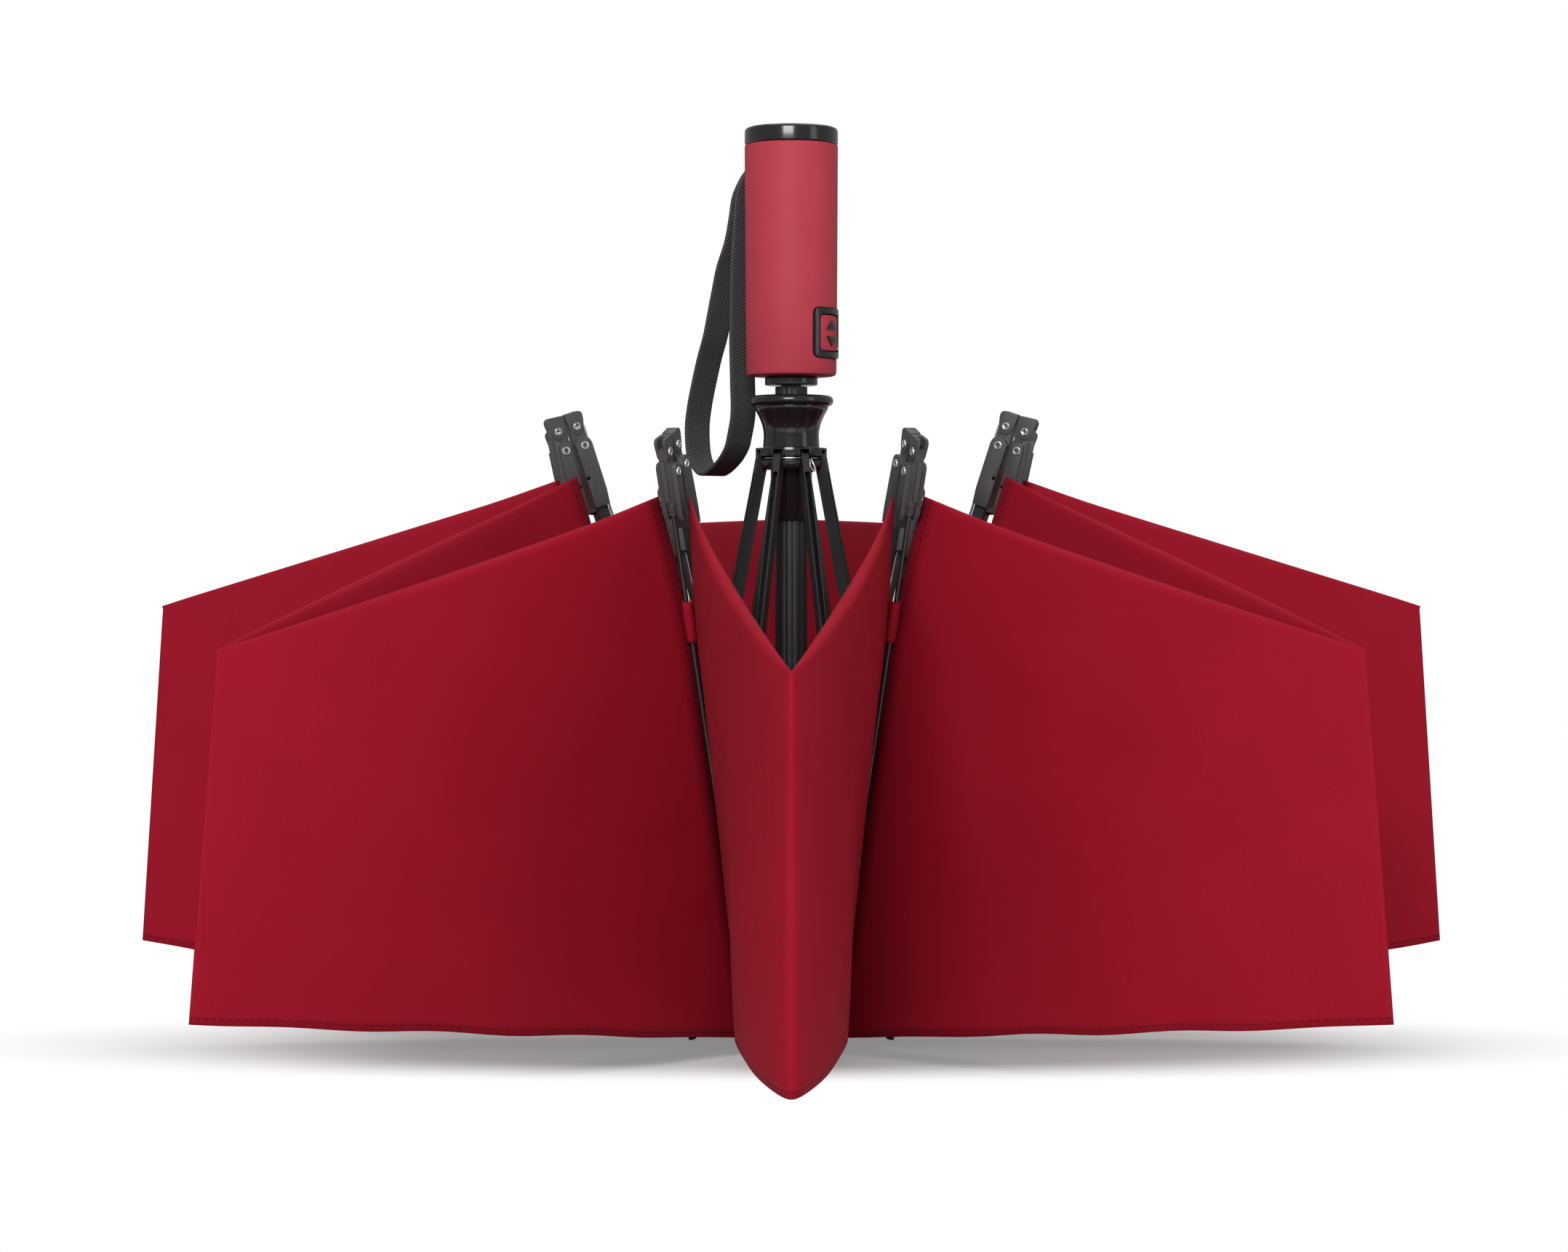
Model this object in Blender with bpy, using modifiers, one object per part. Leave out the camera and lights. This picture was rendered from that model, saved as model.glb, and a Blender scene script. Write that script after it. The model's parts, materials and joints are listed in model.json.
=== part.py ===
"""Windproof umbrella, inside-out folding, standing on its crown with the handle up.

Metres, +Z up. The origin is the middle of the crown cap's underside. The front is -Y.
"""

import math

import bmesh
import bpy
from mathutils import Matrix, Vector

MM = 0.001
DEG = math.pi / 180

# Driving sizes
RIB_COUNT = 8
GAP = 0.3 * MM  # between faceted pieces that fit together
PLAY = 0.4 * MM  # running clearance of sliding and turning pieces
OVERRUN = 2 * MM  # how far every cutter passes the face it cuts
STEPS = 24

# Crown, at the foot
CAP_RADIUS = 17 * MM
CAP_HEIGHT = 7.5 * MM
CAP_ROUND = 2 * MM
NOTCH_RADIUS = 12.6 * MM
NOTCH_HEIGHT = 10.5 * MM
NOTCH_FLOOR = 2 * MM
WIRE_RADIUS = 0.5 * MM
CROWN_WIRE_RING_RADIUS = 10.6 * MM

# Shaft: three tubes, closed
OUTER_TUBE_RADIUS = 6.4 * MM
TUBE_WALL = 0.8 * MM
FLUTE_COUNT = 12
FLUTE_DEPTH = 0.35 * MM
TUBE_TOP_BELOW_GRIP = 4.3 * MM
MIDDLE_TUBE_FOOT_Z = 24 * MM
INNER_TUBE_FOOT_Z = 30 * MM
INNER_TUBE_IN_GRIP = 30 * MM

# Handle
GRIP_FOOT_Z = 266.2 * MM
GRIP_HEIGHT = 92 * MM
GRIP_FOOT_RADIUS = 18 * MM
GRIP_TOP_RADIUS = 18.6 * MM
GRIP_ROUND = 1.2 * MM
END_CAP_HEIGHT = 6.5 * MM
END_CAP_ROUND = 1.6 * MM
COLLAR_RADIUS = 10.5 * MM
COLLAR_HEIGHT = 3.4 * MM

# Button on the grip
BUTTON_AZIMUTH = -31 * DEG
BUTTON_FRAME_HALF_ARC = 30 * DEG
BUTTON_FRAME_HEIGHT = 19.7 * MM
BUTTON_FRAME_PROUD = 0.9 * MM
BUTTON_FRAME_DEPTH = 2.2 * MM
BUTTON_FRAME_RISE = 16.6 * MM  # of its middle, above the grip's foot
BUTTON_RIM = 2.4 * MM
BUTTON_PROUD = 0.5 * MM
BUTTON_DEPTH = 2.9 * MM
BUTTON_TRAVEL = 1 * MM
BUTTON_PLAY = 0.5 * MM
ARROW_WIDTH = 7.4 * MM
ARROW_HEIGHT = 4.4 * MM
ARROW_PROUD = 0.5 * MM
ARROW_SPACING = 6.8 * MM

# Runner
RUNNER_TOP_Z = 258.4 * MM
RUNNER_BORE_RADIUS = OUTER_TUBE_RADIUS + PLAY
RIM_RADIUS = 16.8 * MM
RIM_HEIGHT = 4 * MM
THROAT_RADIUS = 11 * MM
TRUMPET_HEIGHT = 20.6 * MM
RING_RADIUS = 14.2 * MM
RING_HEIGHT = 8.4 * MM
RING_GROOVE_DEPTH = 0.6 * MM
SLEEVE_RADIUS = 8.2 * MM
SLEEVE_FOOT_Z = 209 * MM
RUNNER_WIRE_RING_RADIUS = 12.6 * MM

# Ribs
RIB_PIVOT_Z = 14 * MM
RIB_LENGTH = 250 * MM
RIB_WIDTH = 3.2 * MM
RIB_DEPTH = 4.4 * MM
RIB_WALL = 0.6 * MM
RIB_EYE_RADIUS = 2.1 * MM
RIB_EYE_BORE = WIRE_RADIUS + PLAY
SIDE_SPLAY = 19.2 * DEG
FRONT_SPLAY = 25 * DEG
REAR_SIDE_SPLAY = 20.5 * DEG
REAR_SPLAY = 30.8 * DEG
STRETCHER_LENGTH = 140 * MM
STRETCHER_WIDTH = 3 * MM
STRETCHER_WALL = 0.5 * MM
TONGUE_LENGTH = 16 * MM
TONGUE_THICKNESS = 1.2 * MM
TONGUE_PAST = 3 * MM
JOG_LENGTH = 4 * MM
SLOT_WIDTH = RIB_WIDTH + 2 * GAP

# Elbow, measured from its pivot at the top between the two heads
HEAD_WIDTH = 7.4 * MM
HEAD_HEIGHT = 12.5 * MM
HEAD_THICKNESS = 4.4 * MM
HEAD_ROUND = 2 * MM
LINK_WIDTH = 6.6 * MM
LINK_THICKNESS = 8 * MM
BAR_DROP = 10 * MM
LINK_LENGTH = 38 * MM
SOCKET_DEPTH = 14 * MM
SCREW_RADIUS = 1.7 * MM
SCREW_PROUD = 0.4 * MM
SCREW_DROP = 5.6 * MM
EYELET_DROP = 13.5 * MM
SLEEVE_ROD_RADIUS = 2.4 * MM
SLEEVE_ROD_LENGTH = 30 * MM
CHEEK_THICKNESS = 1.6 * MM
CHEEK_WIDTH = 4.6 * MM
CHEEK_LENGTH = 32 * MM
OUTER_ROD_RADIUS = 0.95 * MM
OUTER_ROD_TIP_RADIUS = 0.7 * MM
OUTER_LENGTH = 249 * MM
TIP_BEAD_RADIUS = 1.6 * MM
SIDE_TILT = 13.5 * DEG
FRONT_TILT = 20 * DEG
REAR_TILT = 27.5 * DEG

# Canopy
CLOTH = 0.9 * MM
CLOTH_FOOT_RADIUS = 18.5 * MM
CLOTH_FOOT_Z = 11 * MM
PEAK_SHARE = 0.908  # of the elbow's height, where the cloth folds over
REAR_PEAK_SHARE = 0.93
INNER_EDGE_OFFSET = 2.9 * MM
OUTER_EDGE_OFFSET = 2.4 * MM
PEAK_EDGE_OFFSET = 6.2 * MM
CLOTH_TIP_RISE = 1.5 * MM
PANEL_BULGE = 7 * MM
TROUGH_SAG = 6 * MM
HEM_WAVE = 2 * MM
HEM_WAVES = 3
WING_COLUMNS = 6
INNER_ROWS = 4
OUTER_ROWS = 6
# Wing tip places: radius at the fold, its height, radius at the hem, its height,
# and how far the hem is cut away between the ribs and the wing's tip
FRONT_WING = (270 * MM, 158 * MM, 268 * MM, 18 * MM, 12 * MM)
CORNER_WING = (280 * MM, 163 * MM, 292 * MM, 34.5 * MM, 0 * MM)
SIDE_WING = (252 * MM, 176 * MM, 260.5 * MM, 41.5 * MM, 0 * MM)
REAR_WING = (215 * MM, 214 * MM, 270.2 * MM, 18 * MM, 12 * MM)

# Wrist strap
STRAP_WIDTH = 12 * MM
STRAP_THICKNESS = 1.3 * MM

CROWN_TOP_Z = CAP_HEIGHT + GAP + NOTCH_HEIGHT
GRIP_TOP_Z = GRIP_FOOT_Z + GRIP_HEIGHT
TUBE_TOP_Z = GRIP_FOOT_Z - TUBE_TOP_BELOW_GRIP
BUTTON_FRAME_Z = GRIP_FOOT_Z + BUTTON_FRAME_RISE
RING_TOP_Z = RUNNER_TOP_Z - TRUMPET_HEIGHT - GAP
STRETCHER_PIVOT_Z = RING_TOP_Z - RING_HEIGHT / 2
HEAD_OFFSET = (LINK_WIDTH + GAP) / 2 + GAP

for old in list(bpy.data.objects):
    bpy.data.objects.remove(old, do_unlink=True)

parts = bpy.data.collections.new("windproof_umbrella")
cutters = bpy.data.collections.new("cutters")
bpy.context.scene.collection.children.link(parts)
bpy.context.scene.collection.children.link(cutters)


def material(name, colour, roughness, metallic=0.0):
    mat = bpy.data.materials.new(name)
    mat.use_nodes = True
    shader = mat.node_tree.nodes["Principled BSDF"]
    shader.inputs["Base Color"].default_value = (*colour, 1)
    shader.inputs["Roughness"].default_value = roughness
    shader.inputs["Metallic"].default_value = metallic
    mat.diffuse_color = (*colour, 1)
    return mat


RED_CLOTH = material("red_cloth", (0.26, 0.008, 0.022), 0.75)
RED_RUBBER = material("red_rubber", (0.42, 0.04, 0.06), 0.5)
GLOSS_BLACK = material("gloss_black", (0.01, 0.01, 0.011), 0.12)
BLACK_STEEL = material("black_steel", (0.03, 0.03, 0.032), 0.35, 0.4)
GREY_PLASTIC = material("grey_plastic", (0.06, 0.06, 0.063), 0.5)
ALUMINIUM = material("aluminium", (0.75, 0.75, 0.76), 0.3, 1.0)
WEBBING = material("webbing", (0.02, 0.02, 0.022), 0.8)


def hidden(obj):
    obj.hide_render = True
    obj.display_type = "WIRE"
    return obj


def new_object(name, mesh, mat, home=parts):
    obj = bpy.data.objects.new(name, mesh)
    home.objects.link(obj)
    if mat is not None and not mesh.materials:
        mesh.materials.append(mat)
    return hidden(obj) if home is cutters else obj


def block(low, high, name="block"):
    """A box mesh between two corners."""
    bm = bmesh.new()
    bmesh.ops.create_cube(bm, size=1.0)
    low, high = Vector(low), Vector(high)
    middle, size = (low + high) / 2, high - low
    bmesh.ops.transform(
        bm, matrix=Matrix.Translation(middle) @ Matrix.Diagonal((*size, 1)), verts=bm.verts
    )
    mesh = bpy.data.meshes.new(name)
    bm.to_mesh(mesh)
    bm.free()
    return mesh


def rod(start, end, radius, end_radius=None, sides=12, name="rod"):
    """A round bar mesh between two points."""
    start, end = Vector(start), Vector(end)
    run = end - start
    bm = bmesh.new()
    bmesh.ops.create_cone(
        bm,
        cap_ends=True,
        segments=sides,
        radius1=radius,
        radius2=radius if end_radius is None else end_radius,
        depth=run.length,
    )
    turn = Vector((0, 0, 1)).rotation_difference(run).to_matrix().to_4x4()
    bmesh.ops.transform(
        bm, matrix=Matrix.Translation((start + end) / 2) @ turn, verts=bm.verts
    )
    mesh = bpy.data.meshes.new(name)
    bm.to_mesh(mesh)
    bm.free()
    return mesh


def turned(name, profile, mat, steps=STEPS, home=parts):
    """A solid turned about Z from a closed outline of (radius, height), outer side first, top to bottom."""
    mesh = bpy.data.meshes.new(name)
    count = len(profile)
    mesh.from_pydata(
        [(r, 0, z) for r, z in profile], [(i, (i + 1) % count) for i in range(count)], []
    )
    obj = new_object(name, mesh, mat, home)
    screw = obj.modifiers.new("turn", "SCREW")
    screw.steps = screw.render_steps = steps
    screw.use_merge_vertices = True
    screw.merge_threshold = 0.01 * MM
    return obj


def combine(obj, mesh, operation, place=None):
    """Adds a Boolean of obj with a mesh, kept among the cutters."""
    tool = new_object(obj.name + "_tool", mesh, None, cutters)
    if place is not None:
        tool.matrix_world = place
    boolean = obj.modifiers.new(operation.lower(), "BOOLEAN")
    boolean.operation = operation
    boolean.solver = "EXACT"
    boolean.object = tool
    return boolean


def settled(obj):
    """The evaluated mesh of obj, to be shared by the copies of a repeated piece."""
    bpy.context.view_layer.update()
    graph = bpy.context.evaluated_depsgraph_get()
    return bpy.data.meshes.new_from_object(obj.evaluated_get(graph))


def smooth(obj):
    obj.data.shade_smooth()
    obj.data.set_sharp_from_angle(angle=35 * DEG)


def ring_profile(outer, inner, top, foot, rounding=0.0):
    if rounding:
        return [
            (inner, top),
            (outer - rounding, top),
            (outer - rounding * 0.29, top - rounding * 0.29),
            (outer, top - rounding),
            (outer, foot),
            (inner, foot),
        ]
    return [(inner, top), (outer, top), (outer, foot), (inner, foot)]


def azimuth_of_rib(index):
    """Rib 0 stands to the right of the front, and the others follow counter-clockwise."""
    return -math.pi / 2 + (index + 0.5) * 2 * math.pi / RIB_COUNT


def from_front(index):
    """A rib's place counted from the front: 0 for the front pair, 3 for the rear pair."""
    return min(index, RIB_COUNT - 1 - index)


def splay_of(index):
    return (FRONT_SPLAY, SIDE_SPLAY, REAR_SIDE_SPLAY, REAR_SPLAY)[from_front(index)]


def tilt_of(index):
    return (FRONT_TILT, SIDE_TILT, SIDE_TILT, REAR_TILT)[from_front(index)]


def elbow_place(splay):
    """(radius, height) of an elbow's pivot."""
    return (
        CROWN_WIRE_RING_RADIUS + RIB_LENGTH * math.sin(splay) + HEAD_OFFSET * math.cos(splay),
        RIB_PIVOT_Z + RIB_LENGTH * math.cos(splay) - HEAD_OFFSET * math.sin(splay),
    )


def stretcher_angle(splay):
    """How far a stretcher leans from the vertical when its end meets the rib."""
    across = CROWN_WIRE_RING_RADIUS - RUNNER_WIRE_RING_RADIUS
    up = RIB_PIVOT_Z - STRETCHER_PIVOT_Z
    half = across * math.sin(splay) + up * math.cos(splay)
    along = -half - math.sqrt(half**2 - across**2 - up**2 + STRETCHER_LENGTH**2)
    reach = across + along * math.sin(splay)
    drop = -(up + along * math.cos(splay))
    return math.atan2(reach, drop)


def place_on_ray(azimuth, radius, height, lean):
    """The matrix of a piece that leans outward by an angle, in the plane of a rib."""
    return (
        Matrix.Rotation(azimuth, 4, "Z")
        @ Matrix.Translation((radius, 0, height))
        @ Matrix.Rotation(lean, 4, "Y")
    )


# Crown cap and notch
def make_crown():
    turned(
        "crown_cap",
        [
            (0, CAP_HEIGHT),
            (CAP_RADIUS - CAP_ROUND, CAP_HEIGHT),
            (CAP_RADIUS, CAP_HEIGHT - CAP_ROUND),
            (CAP_RADIUS, CAP_ROUND),
            (CAP_RADIUS - CAP_ROUND, 0),
            (0, 0),
        ],
        GLOSS_BLACK,
    )
    foot = CAP_HEIGHT + GAP
    seat = OUTER_TUBE_RADIUS + GAP
    notch = turned(
        "crown_notch",
        [
            (seat, CROWN_TOP_Z),
            (NOTCH_RADIUS, CROWN_TOP_Z),
            (NOTCH_RADIUS, foot),
            (0, foot),
            (0, foot + NOTCH_FLOOR),
            (seat, foot + NOTCH_FLOOR),
        ],
        GREY_PLASTIC,
    )
    slot_floor = foot + NOTCH_FLOOR
    slot_start = seat + TUBE_WALL
    for index in range(RIB_COUNT):
        combine(
            notch,
            block(
                (slot_start, -SLOT_WIDTH / 2, slot_floor),
                (NOTCH_RADIUS + OVERRUN, SLOT_WIDTH / 2, CROWN_TOP_Z + OVERRUN),
            ),
            "DIFFERENCE",
            Matrix.Rotation(azimuth_of_rib(index), 4, "Z"),
        )
    groove = turned(
        "crown_groove",
        ring_profile(
            NOTCH_RADIUS + OVERRUN,
            CROWN_WIRE_RING_RADIUS - WIRE_RADIUS - GAP,
            RIB_PIVOT_Z + WIRE_RADIUS + GAP,
            RIB_PIVOT_Z - WIRE_RADIUS - GAP,
        ),
        None,
        home=cutters,
    )
    cut = notch.modifiers.new("groove", "BOOLEAN")
    cut.operation = "DIFFERENCE"
    cut.solver = "EXACT"
    cut.object = groove
    wire_ring("crown_wire", CROWN_WIRE_RING_RADIUS, RIB_PIVOT_Z)


def wire_ring(name, radius, height):
    """A closed ring of wire through the eyes of the ribs or stretchers."""
    sides = 6
    profile = [
        (
            radius + WIRE_RADIUS * math.cos(-2 * math.pi * i / sides),
            height + WIRE_RADIUS * math.sin(-2 * math.pi * i / sides),
        )
        for i in range(sides)
    ]
    ring = turned(name, profile, ALUMINIUM)
    return ring


# Shaft tubes
def fluted_tube(name, foot, top):
    """The outer tube, whose outside alternates between ridges and shallow flutes."""
    bm = bmesh.new()
    rings = []
    for height in (foot, top):
        for inner in (False, True):
            ring = []
            for i in range(FLUTE_COUNT * 2):
                turn = math.pi * i / FLUTE_COUNT
                radius = OUTER_TUBE_RADIUS - (TUBE_WALL if inner else FLUTE_DEPTH * (i % 2))
                ring.append(
                    bm.verts.new((radius * math.cos(turn), radius * math.sin(turn), height))
                )
            rings.append(ring)
    low_out, low_in, top_out, top_in = rings
    count = len(low_out)
    for i in range(count):
        j = (i + 1) % count
        bm.faces.new((low_out[i], low_out[j], top_out[j], top_out[i]))
        bm.faces.new((low_in[j], low_in[i], top_in[i], top_in[j]))
        bm.faces.new((top_out[i], top_out[j], top_in[j], top_in[i]))
        bm.faces.new((low_out[j], low_out[i], low_in[i], low_in[j]))
    mesh = bpy.data.meshes.new(name)
    bm.to_mesh(mesh)
    bm.free()
    return new_object(name, mesh, BLACK_STEEL)


def make_tubes():
    foot = CAP_HEIGHT + GAP + NOTCH_FLOOR + GAP
    fluted_tube("shaft_outer_tube", foot, TUBE_TOP_Z)
    middle = OUTER_TUBE_RADIUS - TUBE_WALL - PLAY
    turned(
        "shaft_middle_tube",
        ring_profile(middle, middle - TUBE_WALL, TUBE_TOP_Z, MIDDLE_TUBE_FOOT_Z),
        BLACK_STEEL,
        24,
    )
    inner = middle - TUBE_WALL - PLAY
    top = GRIP_FOOT_Z + INNER_TUBE_IN_GRIP
    turned(
        "shaft_inner_tube",
        ring_profile(inner, inner - TUBE_WALL, top, INNER_TUBE_FOOT_Z),
        BLACK_STEEL,
        24,
    )
    return inner


# Handle
def make_handle(inner_tube_radius):
    bore = inner_tube_radius + GAP
    pocket_top = GRIP_FOOT_Z + INNER_TUBE_IN_GRIP + GAP
    grip = turned(
        "grip",
        [
            (0, GRIP_TOP_Z),
            (GRIP_TOP_RADIUS - GRIP_ROUND, GRIP_TOP_Z),
            (GRIP_TOP_RADIUS, GRIP_TOP_Z - GRIP_ROUND),
            (GRIP_FOOT_RADIUS, GRIP_FOOT_Z + GRIP_ROUND),
            (GRIP_FOOT_RADIUS - GRIP_ROUND, GRIP_FOOT_Z),
            (bore, GRIP_FOOT_Z),
            (bore, pocket_top),
            (0, pocket_top),
        ],
        RED_RUBBER,
    )
    turned(
        "end_cap",
        [
            (0, GRIP_TOP_Z + GAP + END_CAP_HEIGHT),
            (GRIP_TOP_RADIUS - END_CAP_ROUND, GRIP_TOP_Z + GAP + END_CAP_HEIGHT),
            (
                GRIP_TOP_RADIUS - END_CAP_ROUND * 0.29,
                GRIP_TOP_Z + GAP + END_CAP_HEIGHT - END_CAP_ROUND * 0.29,
            ),
            (GRIP_TOP_RADIUS, GRIP_TOP_Z + GAP + END_CAP_HEIGHT - END_CAP_ROUND),
            (GRIP_TOP_RADIUS, GRIP_TOP_Z + GAP),
            (0, GRIP_TOP_Z + GAP),
        ],
        GLOSS_BLACK,
    )
    collar_top = GRIP_FOOT_Z - GAP
    turned(
        "collar",
        ring_profile(COLLAR_RADIUS, bore, collar_top, collar_top - COLLAR_HEIGHT),
        GLOSS_BLACK,
    )
    # The frame's recess
    place = Matrix.Rotation(BUTTON_AZIMUTH, 4, "Z") @ Matrix.Translation(
        (0, 0, BUTTON_FRAME_Z)
    )
    half_width = GRIP_FOOT_RADIUS * math.sin(BUTTON_FRAME_HALF_ARC)
    half_height = BUTTON_FRAME_HEIGHT / 2
    frame_inner = GRIP_FOOT_RADIUS - BUTTON_FRAME_DEPTH
    well_inner = GRIP_FOOT_RADIUS - BUTTON_DEPTH - BUTTON_TRAVEL
    combine(
        grip,
        curved_pad(frame_inner - GAP, None, half_width + GAP, half_height + GAP),
        "DIFFERENCE",
        place,
    )
    inner_half_width = half_width - BUTTON_RIM
    inner_half_height = half_height - BUTTON_RIM
    combine(
        grip,
        curved_pad(well_inner - GAP, None, inner_half_width, inner_half_height),
        "DIFFERENCE",
        place,
    )
    frame = new_object(
        "button_frame",
        curved_pad(
            frame_inner, GRIP_FOOT_RADIUS + BUTTON_FRAME_PROUD, half_width, half_height
        ),
        GLOSS_BLACK,
    )
    frame.matrix_world = place
    combine(
        frame,
        curved_pad(well_inner, None, inner_half_width, inner_half_height),
        "DIFFERENCE",
        place,
    )
    pad_half_width = inner_half_width - BUTTON_PLAY
    pad_half_height = inner_half_height - BUTTON_PLAY
    face = GRIP_FOOT_RADIUS + BUTTON_PROUD
    button = new_object(
        "button",
        curved_pad(face - BUTTON_DEPTH, face, pad_half_width, pad_half_height),
        RED_RUBBER,
    )
    button.matrix_world = place
    for side in (1, -1):
        low = ARROW_SPACING / 2 * side
        outline = [
            (-ARROW_WIDTH / 2, low - side * ARROW_HEIGHT / 2),
            (ARROW_WIDTH / 2, low - side * ARROW_HEIGHT / 2),
            (0, low + side * ARROW_HEIGHT / 2),
        ]
        combine(button, prism(outline, face - ARROW_PROUD * 2, face + ARROW_PROUD), "UNION", place)


def curved_pad(inner, outer, half_width, half_height):
    """A pad on the +X side with round corners, its two faces curved about Z between two radii."""
    reach = (outer or GRIP_TOP_RADIUS + 2 * OVERRUN)
    columns, rows = 8, 1
    corner = min(half_width, half_height) * 0.28
    bm = bmesh.new()
    outline = []
    for sx, sy, start in ((1, 1, 0), (-1, 1, 90), (-1, -1, 180), (1, -1, 270)):
        for step in (0, 30, 60, 90):
            turn = (start + step) * DEG
            outline.append(
                (
                    sx * (half_width - corner) + corner * math.cos(turn),
                    sy * (half_height - corner) + corner * math.sin(turn),
                )
            )
    # The outline is cut into upright strips so that both faces follow the curve
    ring_in = [bm.verts.new(on_cylinder(inner, a, b)) for a, b in outline]
    ring_out = [bm.verts.new(on_cylinder(reach, a, b)) for a, b in outline]
    count = len(outline)
    for i in range(count):
        j = (i + 1) % count
        bm.faces.new((ring_in[i], ring_in[j], ring_out[j], ring_out[i]))
    for ring, flip in ((ring_out, False), (ring_in, True)):
        half = count // 2
        # Pairs of points at the same side position make the strips
        top = ring[:half]
        low = list(reversed(ring[half:]))
        for i in range(half - 1):
            quad = (top[i], top[i + 1], low[i + 1], low[i])
            bm.faces.new(tuple(reversed(quad)) if flip else quad)
    bmesh.ops.recalc_face_normals(bm, faces=bm.faces)
    mesh = bpy.data.meshes.new("pad")
    bm.to_mesh(mesh)
    bm.free()
    return mesh


def on_cylinder(radius, across, up):
    """A point at a radius, whose distance across is measured round the grip's foot."""
    turn = math.asin(max(-1.0, min(1.0, across / GRIP_FOOT_RADIUS)))
    return (radius * math.cos(turn), radius * math.sin(turn), up)


def prism(outline, inner, outer):
    """A flat outline of (across, up), drawn out along X."""
    bm = bmesh.new()
    back = [bm.verts.new((inner, a, b)) for a, b in outline]
    front = [bm.verts.new((outer, a, b)) for a, b in outline]
    count = len(outline)
    for i in range(count):
        j = (i + 1) % count
        bm.faces.new((back[i], back[j], front[j], front[i]))
    bm.faces.new(front)
    bm.faces.new(list(reversed(back)))
    bmesh.ops.recalc_face_normals(bm, faces=bm.faces)
    mesh = bpy.data.meshes.new("prism")
    bm.to_mesh(mesh)
    bm.free()
    return mesh


# Runner
def make_runner():
    top = RUNNER_TOP_Z
    foot = top - TRUMPET_HEIGHT
    flare = RIM_RADIUS - THROAT_RADIUS
    below_rim = TRUMPET_HEIGHT - RIM_HEIGHT
    outline = [
        (RUNNER_BORE_RADIUS, top),
        (RIM_RADIUS - RIM_HEIGHT * 0.3, top),
        (RIM_RADIUS, top - RIM_HEIGHT * 0.3),
        (RIM_RADIUS, top - RIM_HEIGHT * 0.7),
    ]
    flare_shares = ((0.0, 0.84), (0.23, 0.4), (0.46, 0.09), (0.7, 0.0), (1.0, 0.03))
    for down, out in flare_shares:
        outline.append((THROAT_RADIUS + flare * out, top - RIM_HEIGHT - below_rim * down))
    outline.append((RUNNER_BORE_RADIUS, foot))
    turned("runner", outline, GLOSS_BLACK)

    ring_foot = RING_TOP_Z - RING_HEIGHT
    wire_in = RUNNER_WIRE_RING_RADIUS - WIRE_RADIUS - GAP
    wire_up = STRETCHER_PIVOT_Z + WIRE_RADIUS + GAP
    wire_low = STRETCHER_PIVOT_Z - WIRE_RADIUS - GAP
    ring = turned(
        "runner_ring",
        [
            (RUNNER_BORE_RADIUS, RING_TOP_Z),
            (RING_RADIUS, RING_TOP_Z),
            (RING_RADIUS, wire_up),
            (wire_in, wire_up),
            (wire_in, wire_low),
            (RING_RADIUS, wire_low),
            (RING_RADIUS - RING_GROOVE_DEPTH, ring_foot),
            (SLEEVE_RADIUS, ring_foot),
            (SLEEVE_RADIUS, SLEEVE_FOOT_Z),
            (RUNNER_BORE_RADIUS, SLEEVE_FOOT_Z),
        ],
        GLOSS_BLACK,
    )
    for index in range(RIB_COUNT):
        combine(
            ring,
            block(
                (SLEEVE_RADIUS + GAP, -SLOT_WIDTH / 2, ring_foot - OVERRUN),
                (RING_RADIUS + OVERRUN, SLOT_WIDTH / 2, RING_TOP_Z - TUBE_WALL),
            ),
            "DIFFERENCE",
            Matrix.Rotation(azimuth_of_rib(index), 4, "Z"),
        )
    wire_ring("runner_wire", RUNNER_WIRE_RING_RADIUS, STRETCHER_PIVOT_Z)


# Ribs
def eye(obj, radius, bore, width):
    """Joins a round eye at the piece's pivot, and bores it for the wire."""
    combine(obj, rod((0, -width / 2, 0), (0, width / 2, 0), radius), "UNION")
    combine(
        obj, rod((0, -width, 0), (0, width, 0), bore, sides=8), "DIFFERENCE"
    )


def inner_rib_mesh():
    top = RIB_LENGTH - LINK_LENGTH + SOCKET_DEPTH - GAP
    half = RIB_WIDTH / 2
    rib = new_object(
        "rib_master", block((-RIB_DEPTH / 2, -half, 0), (RIB_DEPTH / 2, half, top)), BLACK_STEEL, cutters
    )
    eye(rib, RIB_EYE_RADIUS, RIB_EYE_BORE, RIB_WIDTH)
    combine(
        rib,
        block(
            (-RIB_DEPTH / 2 - OVERRUN, -half + RIB_WALL, RIB_EYE_RADIUS * 3),
            (RIB_DEPTH / 2 - RIB_WALL, half - RIB_WALL, top + OVERRUN),
        ),
        "DIFFERENCE",
    )
    return settled(rib)


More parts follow.
